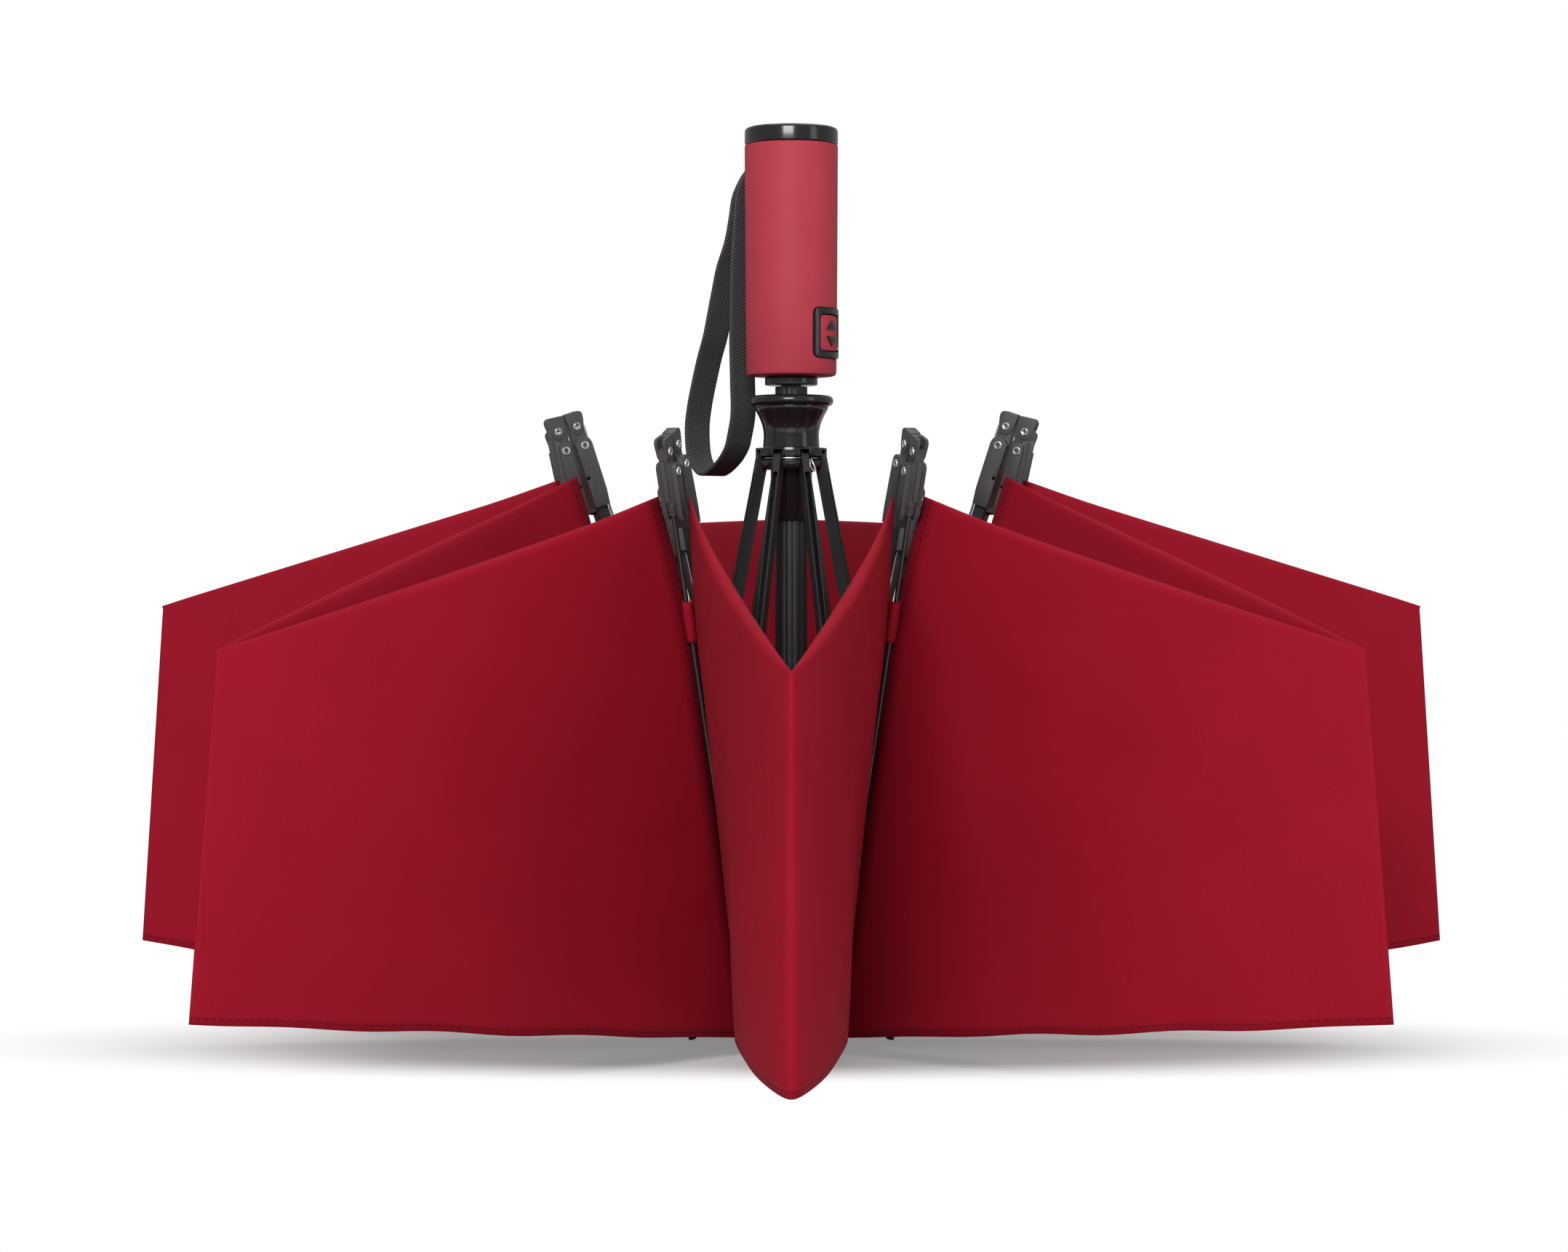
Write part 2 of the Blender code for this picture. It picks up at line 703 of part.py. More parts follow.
def stretcher_mesh():
    half = STRETCHER_WIDTH / 2
    end = -(STRETCHER_LENGTH - TONGUE_LENGTH)
    bar = new_object(
        "stretcher_master",
        block((-RIB_DEPTH / 2, -half, end), (RIB_DEPTH / 2, half, 0)),
        BLACK_STEEL,
        cutters,
    )
    eye(bar, RIB_EYE_RADIUS, RIB_EYE_BORE, STRETCHER_WIDTH)
    combine(
        bar,
        block(
            (-RIB_DEPTH / 2 + STRETCHER_WALL, -half + STRETCHER_WALL, end - OVERRUN),
            (RIB_DEPTH / 2 + OVERRUN, half - STRETCHER_WALL, -RIB_EYE_RADIUS * 3),
        ),
        "DIFFERENCE",
    )
    side_in = RIB_WIDTH / 2 + GAP
    side_out = side_in + TONGUE_THICKNESS
    combine(
        bar,
        block(
            (-RIB_DEPTH / 2, half - STRETCHER_WALL, end),
            (RIB_DEPTH / 2, side_out, end + JOG_LENGTH),
        ),
        "UNION",
    )
    combine(
        bar,
        block(
            (-RIB_DEPTH / 2, side_in, -STRETCHER_LENGTH - TONGUE_PAST),
            (RIB_DEPTH / 2, side_out, end + JOG_LENGTH / 2),
        ),
        "UNION",
    )
    return settled(bar)


def rounded_head(side):
    """A head's outline in its hinge plane, on one side of the pivot."""
    near, far = side * GAP / 2, side * HEAD_WIDTH
    inner_far = side * (HEAD_WIDTH - HEAD_ROUND)
    return [
        (near, 0),
        (inner_far, 0),
        (side * (HEAD_WIDTH - HEAD_ROUND * 0.29), -HEAD_ROUND * 0.29),
        (far, -HEAD_ROUND),
        (far, -HEAD_HEIGHT + HEAD_ROUND),
        (inner_far, -HEAD_HEIGHT),
        (near, -HEAD_HEIGHT),
    ]


def plate(outline, half_thickness):
    """A flat outline of (x, z), drawn out along Y on both sides."""
    bm = bmesh.new()
    left = [bm.verts.new((x, -half_thickness, z)) for x, z in outline]
    right = [bm.verts.new((x, half_thickness, z)) for x, z in outline]
    count = len(outline)
    for i in range(count):
        j = (i + 1) % count
        bm.faces.new((left[i], left[j], right[j], right[i]))
    bm.faces.new(right)
    bm.faces.new(list(reversed(left)))
    bmesh.ops.recalc_face_normals(bm, faces=bm.faces)
    mesh = bpy.data.meshes.new("plate")
    bm.to_mesh(mesh)
    bm.free()
    return mesh


def elbow_mesh():
    near, far = -GAP, -GAP - LINK_WIDTH
    head = new_object(
        "elbow_master", plate(rounded_head(-1), HEAD_THICKNESS / 2), GREY_PLASTIC, cutters
    )
    half = LINK_THICKNESS / 2
    combine(
        head, block((far, -half, -LINK_LENGTH), (near, half, -BAR_DROP)), "UNION"
    )
    middle = -HEAD_OFFSET
    combine(
        head,
        block(
            (middle - RIB_DEPTH / 2 - GAP, -RIB_WIDTH / 2 - GAP, -LINK_LENGTH - OVERRUN),
            (middle + RIB_DEPTH / 2 + GAP, RIB_WIDTH / 2 + GAP, -LINK_LENGTH + SOCKET_DEPTH),
        ),
        "DIFFERENCE",
    )
    screw = HEAD_THICKNESS / 2 + SCREW_PROUD
    combine(
        head,
        rod(
            (-HEAD_WIDTH / 2, -screw, -SCREW_DROP),
            (-HEAD_WIDTH / 2, screw, -SCREW_DROP),
            SCREW_RADIUS,
            sides=10,
        ),
        "UNION",
    )
    rivet = half + SCREW_PROUD
    combine(
        head,
        rod((middle, -rivet, -EYELET_DROP), (middle, rivet, -EYELET_DROP), SCREW_RADIUS, sides=10),
        "UNION",
    )
    return settled(head)


def outer_rib_mesh():
    head = new_object(
        "outer_rib_master", plate(rounded_head(1), HEAD_THICKNESS / 2), GREY_PLASTIC, cutters
    )
    centre = HEAD_WIDTH / 2 + GAP * 2
    combine(
        head,
        rod(
            (centre, 0, -HEAD_HEIGHT / 2),
            (centre, 0, -SLEEVE_ROD_LENGTH),
            SLEEVE_ROD_RADIUS,
            sides=10,
        ),
        "UNION",
    )
    for side in (1, -1):
        inner = SLEEVE_ROD_RADIUS - TUBE_WALL
        low, high = sorted((side * inner, side * (inner + CHEEK_THICKNESS + TUBE_WALL)))
        combine(
            head,
            block(
                (GAP * 2, low, -CHEEK_LENGTH), (GAP * 2 + CHEEK_WIDTH, high, -BAR_DROP)
            ),
            "UNION",
        )
    combine(
        head,
        rod(
            (centre, 0, -SLEEVE_ROD_LENGTH + OVERRUN),
            (centre, 0, -OUTER_LENGTH),
            OUTER_ROD_RADIUS,
            OUTER_ROD_TIP_RADIUS,
            sides=8,
        ),
        "UNION",
    )
    combine(
        head,
        rod(
            (centre, 0, -OUTER_LENGTH + TIP_BEAD_RADIUS * 2),
            (centre, 0, -OUTER_LENGTH - TIP_BEAD_RADIUS),
            TIP_BEAD_RADIUS,
            sides=8,
        ),
        "UNION",
    )
    screw = HEAD_THICKNESS / 2 + SCREW_PROUD
    combine(
        head,
        rod(
            (HEAD_WIDTH / 2, -screw, -SCREW_DROP),
            (HEAD_WIDTH / 2, screw, -SCREW_DROP),
            SCREW_RADIUS,
            sides=10,
        ),
        "UNION",
    )
    return settled(head)


def make_ribs():
    rib, stretcher = inner_rib_mesh(), stretcher_mesh()
    elbow, outer = elbow_mesh(), outer_rib_mesh()
    for index in range(RIB_COUNT):
        azimuth, splay = azimuth_of_rib(index), splay_of(index)
        number = index + 1
        radius, height = elbow_place(splay)
        new_object(f"inner_rib_{number}", rib, BLACK_STEEL).matrix_world = place_on_ray(
            azimuth, CROWN_WIRE_RING_RADIUS, RIB_PIVOT_Z, splay
        )
        new_object(f"stretcher_{number}", stretcher, BLACK_STEEL).matrix_world = place_on_ray(
            azimuth, RUNNER_WIRE_RING_RADIUS, STRETCHER_PIVOT_Z, -stretcher_angle(splay)
        )
        new_object(f"elbow_{number}", elbow, GREY_PLASTIC).matrix_world = place_on_ray(
            azimuth, radius, height, splay
        )
        new_object(f"outer_rib_{number}", outer, GREY_PLASTIC).matrix_world = place_on_ray(
            azimuth, radius, height, tilt_of(index)
        )


# Canopy gores
def in_gore(rib_side, radius, height, offset):
    """A point beside a rib, in the gore's frame: X out along its middle, Y across."""
    half = math.pi / RIB_COUNT
    x = radius * math.cos(half) + offset * math.sin(half)
    y = radius * math.sin(half) - offset * math.cos(half)
    return Vector((x, rib_side * y, height))


def gore_mesh(name, left, right, wing):
    """One gore as it hangs: up the ribs from the crown, over the fold, and down to the hem."""
    fold_radius, fold_z, hem_radius, hem_z, hem_cut = wing
    middle_foot = Vector((CLOTH_FOOT_RADIUS, 0, CLOTH_FOOT_Z))
    fold = Vector((fold_radius, 0, fold_z))
    hem = Vector((hem_radius, 0, hem_z))
    edges = {}
    for side, index in ((-1, left), (1, right)):
        splay, tilt = splay_of(index), tilt_of(index)
        elbow_radius, elbow_z = elbow_place(splay)
        peak_share = REAR_PEAK_SHARE if from_front(index) == 3 else PEAK_SHARE
        drop = elbow_z * (1 - peak_share)
        centre = HEAD_WIDTH / 2 + GAP * 2
        run = OUTER_LENGTH - CLOTH_TIP_RISE
        tip_radius = elbow_radius + centre * math.cos(tilt) - run * math.sin(tilt)
        tip_z = elbow_z - centre * math.sin(tilt) - run * math.cos(tilt)
        peak_radius = elbow_radius - drop * math.tan(splay) + centre
        foot = in_gore(side, CLOTH_FOOT_RADIUS, CLOTH_FOOT_Z, INNER_EDGE_OFFSET)
        peak = in_gore(side, peak_radius, elbow_z - drop, PEAK_EDGE_OFFSET)
        tip = in_gore(side, tip_radius, tip_z + CLOTH_TIP_RISE, OUTER_EDGE_OFFSET)
        edges[side] = (foot, peak, tip)
    bm = bmesh.new()
    rows = []
    for row in range(INNER_ROWS + OUTER_ROWS + 1):
        inner = row <= INNER_ROWS
        share = row / INNER_ROWS if inner else (row - INNER_ROWS) / OUTER_ROWS
        line = []
        for column in range(-WING_COLUMNS, WING_COLUMNS + 1):
            side = -1 if column < 0 else 1
            foot, peak, tip = edges[side]
            across = 1 - abs(column) / WING_COLUMNS
            if inner:
                start, end = foot.lerp(peak, share), middle_foot.lerp(fold, share)
                shape = -TROUGH_SAG * math.sin(math.pi * across) * math.sin(math.pi * share)
                point = start.lerp(end, across) + Vector((0, 0, shape))
            else:
                start, end = peak.lerp(tip, share), fold.lerp(hem, share)
                point = start.lerp(end, across)
                bulge = PANEL_BULGE * math.sin(math.pi * across) * math.sin(math.pi * share / 2)
                wave = HEM_WAVE * share**2 * math.sin(2 * math.pi * HEM_WAVES * across)
                rise = hem_cut * math.sin(math.pi * across) * share**3
                point += Vector((0, side * bulge + wave, rise))
            line.append(bm.verts.new(point))
        rows.append(line)
    for lower, upper in zip(rows, rows[1:]):
        for i in range(len(lower) - 1):
            bm.faces.new((lower[i], lower[i + 1], upper[i + 1], upper[i]))
    mesh = bpy.data.meshes.new(name)
    bm.to_mesh(mesh)
    bm.free()
    return mesh


def make_canopy():
    wings = [
        FRONT_WING, CORNER_WING, SIDE_WING, CORNER_WING,
        REAR_WING, CORNER_WING, SIDE_WING, CORNER_WING,
    ]
    for index in range(RIB_COUNT):
        left, right = (index - 1) % RIB_COUNT, index
        name = f"gore_{index + 1}"
        gore = new_object(name, gore_mesh(name, left, right, wings[index]), RED_CLOTH)
        gore.rotation_euler.z = azimuth_of_rib(index) - math.pi / RIB_COUNT
        thick = gore.modifiers.new("cloth", "SOLIDIFY")
        thick.thickness = CLOTH
        thick.offset = 0
        gore.data.shade_smooth()


# Wrist strap: two strands that hang from the grip's back left and join in a loop
STRAP_ACROSS = Vector((0.8, 0.6, 0))
STRAP_ROUTE = (
    # x, y and the height above the grip's foot, in millimetres
    (-11.6, 15.5, 85.8),
    (-14.2, 14.2, 81.8),
    (-17.3, 12.6, 73.8),
    (-18.6, 12.2, 58.8),
    (-19.4, 12.0, 44.8),
    (-19.9, 12.0, 17.8),
    (-19.6, 12.0, -1.2),
    (-19.4, 12.3, -14.2),
    (-20.8, 13.9, -23.2),
    (-22.3, 15.9, -28.7),
    (-26.0, 20.8, -34.2),
    (-31.5, 28.1, -38.3),
    (-35.0, 32.8, -36.3),
    (-37.8, 36.5, -30.2),
    (-38.5, 37.5, -19.2),
    (-37.5, 36.1, -10.2),
    (-35.7, 33.7, -1.2),
    (-33.5, 30.8, 8.3),
    (-30.9, 27.3, 17.5),
    (-29.0, 24.8, 26.8),
    (-27.2, 22.4, 35.8),
    (-25.3, 20.0, 44.8),
    (-22.1, 17.0, 54.5),
    (-20.3, 15.5, 63.8),
    (-18.9, 15.0, 72.8),
    (-16.0, 16.5, 79.8),
    (-12.6, 16.9, 84.8),
)


def make_strap():
    route = [Vector(p) * MM + Vector((0, 0, GRIP_FOOT_Z)) for p in STRAP_ROUTE]
    fine = []
    for i in range(len(route) - 1):
        before = route[max(i - 1, 0)]
        after = route[min(i + 2, len(route) - 1)]
        start, end = route[i], route[i + 1]
        for step in range(3):
            t = step / 3
            fine.append(
                0.5
                * (
                    2 * start
                    + (end - before) * t
                    + (2 * before - 5 * start + 4 * end - after) * t**2
                    + (3 * start - before - 3 * end + after) * t**3
                )
            )
    fine.append(route[-1])
    bm = bmesh.new()
    lines = []
    for point in fine:
        lines.append(
            [bm.verts.new(point + STRAP_ACROSS * STRAP_WIDTH / 2 * s) for s in (-1, 1)]
        )
    for first, second in zip(lines, lines[1:]):
        bm.faces.new((first[0], first[1], second[1], second[0]))
    mesh = bpy.data.meshes.new("wrist_strap")
    bm.to_mesh(mesh)
    bm.free()
    strap = new_object("wrist_strap", mesh, WEBBING)
    thick = strap.modifiers.new("webbing", "SOLIDIFY")
    thick.thickness = STRAP_THICKNESS
    thick.offset = 0


make_crown()
make_handle(make_tubes())
make_runner()
make_ribs()
make_canopy()
make_strap()
for piece in parts.objects:
    smooth(piece)
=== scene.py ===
import json
import math

import bmesh
import bpy
from mathutils import Matrix, Vector, noise

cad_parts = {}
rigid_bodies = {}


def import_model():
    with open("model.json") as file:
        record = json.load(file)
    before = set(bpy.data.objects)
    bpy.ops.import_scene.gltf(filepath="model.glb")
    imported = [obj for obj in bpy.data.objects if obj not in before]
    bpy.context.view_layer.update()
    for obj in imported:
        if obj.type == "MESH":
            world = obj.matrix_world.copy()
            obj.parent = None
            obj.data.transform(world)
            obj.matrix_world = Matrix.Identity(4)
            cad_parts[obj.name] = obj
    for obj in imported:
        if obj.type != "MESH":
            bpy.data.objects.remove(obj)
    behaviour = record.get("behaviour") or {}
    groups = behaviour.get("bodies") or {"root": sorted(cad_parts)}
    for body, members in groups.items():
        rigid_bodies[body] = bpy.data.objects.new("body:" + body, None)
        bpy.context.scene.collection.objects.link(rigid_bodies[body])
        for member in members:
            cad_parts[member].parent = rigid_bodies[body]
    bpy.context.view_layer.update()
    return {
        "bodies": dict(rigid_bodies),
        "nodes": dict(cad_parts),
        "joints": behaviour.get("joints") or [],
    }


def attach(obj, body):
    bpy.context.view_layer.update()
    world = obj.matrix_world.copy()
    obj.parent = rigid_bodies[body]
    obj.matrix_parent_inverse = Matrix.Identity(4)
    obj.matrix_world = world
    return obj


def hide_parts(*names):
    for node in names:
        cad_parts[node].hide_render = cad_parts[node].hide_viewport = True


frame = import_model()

# The photograph looks straight at the umbrella from about 1.4 m, at the height of the cloth's upper half.
# Three soft boxes and a white room light it. The ground is white, with only a soft grey shadow.
PHOTO_WIDTH, PHOTO_HEIGHT = 2156, 1721
HORIZON_ROW, AXIS_COLUMN = 780, 1088
FOCAL_PIXELS, SENSOR_WIDTH = 4828, 36
CAMERA_BACK, CAMERA_HEIGHT = 1.4, 0.19
NEAREST, FARTHEST = 0.05, 50
WHITE = (1, 1, 1, 1)
ROOM_LIGHT = 0.33
# Each lamp's place, the point that it faces, its width and height in metres, and its watts
LAMPS = {
    "key_softbox": ((-0.25, -1.9, 1.1), (0, 0, 0.15), 0.9, 0.8, 30),
    "right_strip": ((1.4, -0.9, 0.7), (0, 0, 0.2), 0.5, 1.4, 2.5),
    "top_softbox": ((0.1, 0.4, 1.7), (0, 0, 0.1), 1.2, 1.2, 9),
}
FLOOR_RADIUS, FLOOR_SIDES, FLOOR_GREY = 6.0, 64, (0.82, 0.82, 0.82, 1)
# The lit floor shows in a long oval under the umbrella, a little whitened, and pure white round it
OVAL_LONG, OVAL_DEEP, OVAL_WHITENED = 0.33, 0.1, 0.24
FADE_FROM_SHARE, FADE_TO_SHARE = 0.55, 1.1


def placed(name, data):
    obj = bpy.data.objects.new(name, data)
    bpy.context.scene.collection.objects.link(obj)
    return obj


def finished(maker, name):
    """The mesh that a bmesh has made."""
    mesh = bpy.data.meshes.new(name)
    maker.to_mesh(mesh)
    maker.free()
    return mesh


def plug(tree, node, inputs):
    """Puts plain values, or the outputs of other nodes, on a node's inputs."""
    for name, value in inputs.items():
        if isinstance(value, bpy.types.NodeSocket):
            tree.links.new(value, node.inputs[name])
        else:
            node.inputs[name].default_value = value


def add_node(tree, kind, inputs=None, **settings):
    """A new node, whose settings are made before its inputs."""
    node = tree.nodes.new(kind)
    for name, value in settings.items():
        setattr(node, name, value)
    plug(tree, node, inputs or {})
    return node


def mathed(tree, operation, *values):
    return add_node(tree, "ShaderNodeMath", dict(enumerate(values)), operation=operation).outputs[0]


def new_material(name):
    """A material with its node tree and its main shader."""
    material = bpy.data.materials.new(name)
    material.use_nodes = True
    return material, material.node_tree, material.node_tree.nodes["Principled BSDF"]


def white_room():
    """A world that is pure white to the camera, and a softer white light on the umbrella."""
    world = bpy.data.worlds.new("white_studio")
    bpy.context.scene.world = world
    world.use_nodes = True
    tree = world.node_tree
    tree.nodes.clear()
    path = add_node(tree, "ShaderNodeLightPath")
    seen = add_node(tree, "ShaderNodeBackground", {"Color": WHITE})
    fill = add_node(tree, "ShaderNodeBackground", {"Color": WHITE, "Strength": ROOM_LIGHT})
    both = {0: path.outputs["Is Camera Ray"], 1: fill.outputs[0], 2: seen.outputs[0]}
    mix = add_node(tree, "ShaderNodeMixShader", both)
    add_node(tree, "ShaderNodeOutputWorld", {"Surface": mix.outputs[0]})


def white_floor():
    """A matt floor that is lit near the umbrella and shows plain white farther away."""
    material, tree, shader = new_material("studio_floor")
    plug(tree, shader, {"Base Color": FLOOR_GREY, "Roughness": 1.0, "Specular IOR Level": 0.0})
    spot = add_node(tree, "ShaderNodeNewGeometry").outputs["Position"]
    squeeze = (1 / OVAL_LONG, 1 / OVAL_DEEP, 0)
    oval = add_node(tree, "ShaderNodeVectorMath", {0: spot, 1: squeeze}, operation="MULTIPLY")
    reach = add_node(tree, "ShaderNodeVectorMath", {0: oval.outputs[0]}, operation="LENGTH")
    fade = add_node(
        tree, "ShaderNodeMapRange",
        {
            "Value": reach.outputs["Value"], "From Min": FADE_FROM_SHARE, "From Max": FADE_TO_SHARE,
            "To Min": OVAL_WHITENED,
        },
        interpolation_type="SMOOTHSTEP",
    )
    camera_ray = add_node(tree, "ShaderNodeLightPath").outputs["Is Camera Ray"]
    glow = add_node(tree, "ShaderNodeEmission")
    share = mathed(tree, "MULTIPLY", fade.outputs["Result"], camera_ray)
    mix = add_node(tree, "ShaderNodeMixShader", {0: share, 1: shader.outputs[0], 2: glow.outputs[0]})
    plug(tree, tree.nodes["Material Output"], {"Surface": mix.outputs[0]})
    return material


camera = bpy.data.cameras.new("photo_camera")
camera.sensor_width = SENSOR_WIDTH
camera.lens = FOCAL_PIXELS * SENSOR_WIDTH / PHOTO_WIDTH
camera.shift_x = (PHOTO_WIDTH / 2 - AXIS_COLUMN) / PHOTO_WIDTH
camera.shift_y = (HORIZON_ROW - PHOTO_HEIGHT / 2) / PHOTO_WIDTH
camera.clip_start, camera.clip_end = NEAREST, FARTHEST
viewer = placed("photo_camera", camera)
viewer.location = (0, -CAMERA_BACK, CAMERA_HEIGHT)
viewer.rotation_euler = (math.radians(90), 0, 0)
bpy.context.scene.camera = viewer
bpy.context.scene.view_settings.view_transform = "Standard"
white_room()
for name, (place, aim, width, height, watts) in LAMPS.items():
    lamp = bpy.data.lights.new(name, "AREA")
    lamp.shape = "RECTANGLE"
    lamp.size, lamp.size_y = width, height
    lamp.energy = watts
    holder = placed(name, lamp)
    holder.location = place
    holder.rotation_euler = (Vector(aim) - Vector(place)).to_track_quat("-Z", "Y").to_euler()
maker = bmesh.new()
bmesh.ops.create_circle(maker, cap_ends=True, segments=FLOOR_SIDES, radius=FLOOR_RADIUS)
floor = placed("floor", finished(maker, "floor"))
floor.data.materials.append(white_floor())

# The strap is one length of coarse black nylon webbing, folded double. Both ends are fixed at the back
# left of the grip.
MM = 0.001
STRAP_WIDE, STRAP_THICK, STRAP_EDGE = 0.012, 0.0013, 0.0004
STRAP_ACROSS = Vector((0.8, 0.6, 0))
STRAP_COLUMNS, ROUTE_STEPS = 6, 6
WEFT_PITCH, WARP_PITCH, WEAVE_DEEP = 0.00184, 0.0013, 0.00025
STRAP_ROUTE = (
    # x, y, z in millimetres, as the part's source has them
    (-11.6, 15.5, 352), (-14.2, 14.2, 348), (-17.3, 12.6, 340), (-18.6, 12.2, 325), (-19.4, 12, 311),
    (-19.9, 12, 284), (-19.6, 12, 265), (-19.4, 12.3, 252), (-20.8, 13.9, 243), (-22.3, 15.9, 237.5),
    (-26, 20.8, 232), (-31.5, 28.1, 227.9), (-35, 32.8, 229.9), (-37.8, 36.5, 236), (-38.5, 37.5, 247),
    (-37.5, 36.1, 256), (-35.7, 33.7, 265), (-33.5, 30.8, 274.5), (-30.9, 27.3, 283.7), (-29, 24.8, 293),
    (-27.2, 22.4, 302), (-25.3, 20, 311), (-22.1, 17, 320.7), (-20.3, 15.5, 330), (-18.9, 15, 339),
    (-16, 16.5, 346), (-12.6, 16.9, 351),
)


def piece(name, data, material, body, place=None):
    """A piece of its own, of one material, that rides on a body."""
    obj = placed(name, data)
    if place is not None:
        obj.matrix_world = place
    data.materials.clear()
    data.materials.append(material)
    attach(obj, body)
    return obj


def smooth_route(route, steps):
    """A smooth curve through all the points of a route."""
    fine = []
    for i, (start, end) in enumerate(zip(route, route[1:])):
        before, after = route[max(i - 1, 0)], route[min(i + 2, len(route) - 1)]
        for step in range(steps):
            t = step / steps
            straight = 2 * start + (end - before) * t
            bend = (2 * before - 5 * start + 4 * end - after) * t**2
            fine.append(0.5 * (straight + bend + (3 * start - before - 3 * end + after) * t**3))
    return [*fine, route[-1]]


def lengths(points):
    """How far along a line of points each of them lies."""
    along = [0.0]
    for start, end in zip(points, points[1:]):
        along.append(along[-1] + (end - start).length)
    return along


def blended(tree, factor, first, second):
    """One of two colours, or what lies between them."""
    colours = {"Factor": factor, "A": first, "B": second}
    return add_node(tree, "ShaderNodeMix", colours, data_type="RGBA").outputs["Result"]


def ranged(tree, value, low, high):
    """A value from 0 to 1, moved to between low and high."""
    ends = {"Value": value, "To Min": low, "To Max": high}
    return add_node(tree, "ShaderNodeMapRange", ends).outputs["Result"]


def bumped(tree, height, distance=1.0, strength=1.0):
    inputs = {"Height": height, "Distance": distance, "Strength": strength}
    return add_node(tree, "ShaderNodeBump", inputs).outputs["Normal"]


def wave(tree, along, pitch):
    """A sine that repeats with a pitch in metres."""
    return mathed(tree, "SINE", mathed(tree, "MULTIPLY", along, 2 * math.pi / pitch))


def nylon_webbing():
    """Coarse black webbing: rows of little floats, lightened by a painted sheen, over a dark ground."""
    material, tree, shader = new_material("nylon_webbing")
    uv = add_node(tree, "ShaderNodeUVMap", uv_map="cloth_metres").outputs["UV"]
    split = add_node(tree, "ShaderNodeSeparateXYZ", {0: uv}).outputs
    weft, warp = wave(tree, split["X"], WEFT_PITCH), wave(tree, split["Y"], WARP_PITCH)
    floats = mathed(tree, "MULTIPLY_ADD", mathed(tree, "MULTIPLY", weft, warp), 0.5, 0.5)
    fuzz = add_node(tree, "ShaderNodeTexNoise", {"Vector": uv, "Scale": 2400}).outputs["Fac"]
    # A painted sheen lifts the floats' colour towards grey, varied at random by the fuzz; the lower
    # roughness on them is real shine.
    painted_sheen = mathed(tree, "MULTIPLY", mathed(tree, "POWER", floats, 2.0), mathed(tree, "ADD", fuzz, 0.45))
    plug(tree, shader, {
        "Base Color": blended(tree, painted_sheen, (0.008, 0.008, 0.009, 1), (0.15, 0.15, 0.16, 1)),
        "Roughness": ranged(tree, floats, 0.75, 0.5),
        "Normal": bumped(tree, floats, WEAVE_DEEP),
    })
    return material


def woven(name, points, metres):
    """A sheet through rows of points, with its lengths along the cloth in metres as its UV map."""
    maker = bmesh.new()
    uv_layer = maker.loops.layers.uv.new("cloth_metres")
    rows = [[maker.verts.new(point) for point in row] for row in points]
    for r in range(len(rows) - 1):
        for c in range(len(rows[r]) - 1):
            spots = ((r, c), (r, c + 1), (r + 1, c + 1), (r + 1, c))
            quad = maker.faces.new([rows[i][j] for i, j in spots])
            for loop, (i, j) in zip(quad.loops, spots):
                loop[uv_layer].uv = metres[i][j]
    mesh = finished(maker, name)
    mesh.shade_smooth()
    return mesh


def thicken(obj, thickness):
    """Gives a sheet its thickness, half of it on each side."""
    solidify = obj.modifiers.new("thickness", "SOLIDIFY")
    solidify.thickness = thickness
    solidify.offset = 0


def ease_edges(obj, width, segments, from_angle):
    """Rounds the edges that turn by more than an angle in degrees."""
    bevel = obj.modifiers.new("edge", "BEVEL")
    bevel.width = width
    bevel.segments = segments
    bevel.limit_method = "ANGLE"
    bevel.angle_limit = math.radians(from_angle)


strap_line = smooth_route([Vector(p) * MM for p in STRAP_ROUTE], ROUTE_STEPS)
strap_along = lengths(strap_line)
shares = [column / STRAP_COLUMNS for column in range(STRAP_COLUMNS + 1)]
strap_mesh = woven(
    "webbing_strap",
    [[point + STRAP_ACROSS * STRAP_WIDE * (share - 0.5) for share in shares] for point in strap_line],
    [[(STRAP_WIDE * share, along) for share in shares] for along in strap_along],
)
strap = piece("webbing_strap", strap_mesh, nylon_webbing(), "handle")
thicken(strap, STRAP_THICK)
ease_edges(strap, STRAP_EDGE, segments=2, from_angle=30)
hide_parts("wrist_strap")

# The crown is a glossy moulded cap that the umbrella stands on, and a slotted notch above it.
# A ring of wire through the notch holds the ends of the eight ribs.
RIBS = 8
GAP = 0.0003  # between pieces that fit together
CAP_RADIUS, CAP_HEIGHT = 0.017, 0.0075
CAP_SHOULDER_IN, CAP_SHOULDER_DOWN, CAP_FOOT_SLOPE = 0.001, 0.002, 0.0015
SOFT_EDGE = 0.0005
ONE_POINT = 0.00001  # points closer than this are one
COAT_ROUGHNESS = 0.06


def shader_group(name, inputs, outputs):
    """A node group that takes and gives plain numbers, with its given outputs and its end node."""
    group = bpy.data.node_groups.new(name, "ShaderNodeTree")
    for label, value in inputs.items():
        socket = group.interface.new_socket(label, in_out="INPUT", socket_type="NodeSocketFloat")
        socket.default_value = value
    for label in outputs:
        group.interface.new_socket(label, in_out="OUTPUT", socket_type="NodeSocketFloat")
    return group, group.nodes.new("NodeGroupInput").outputs, group.nodes.new("NodeGroupOutput")


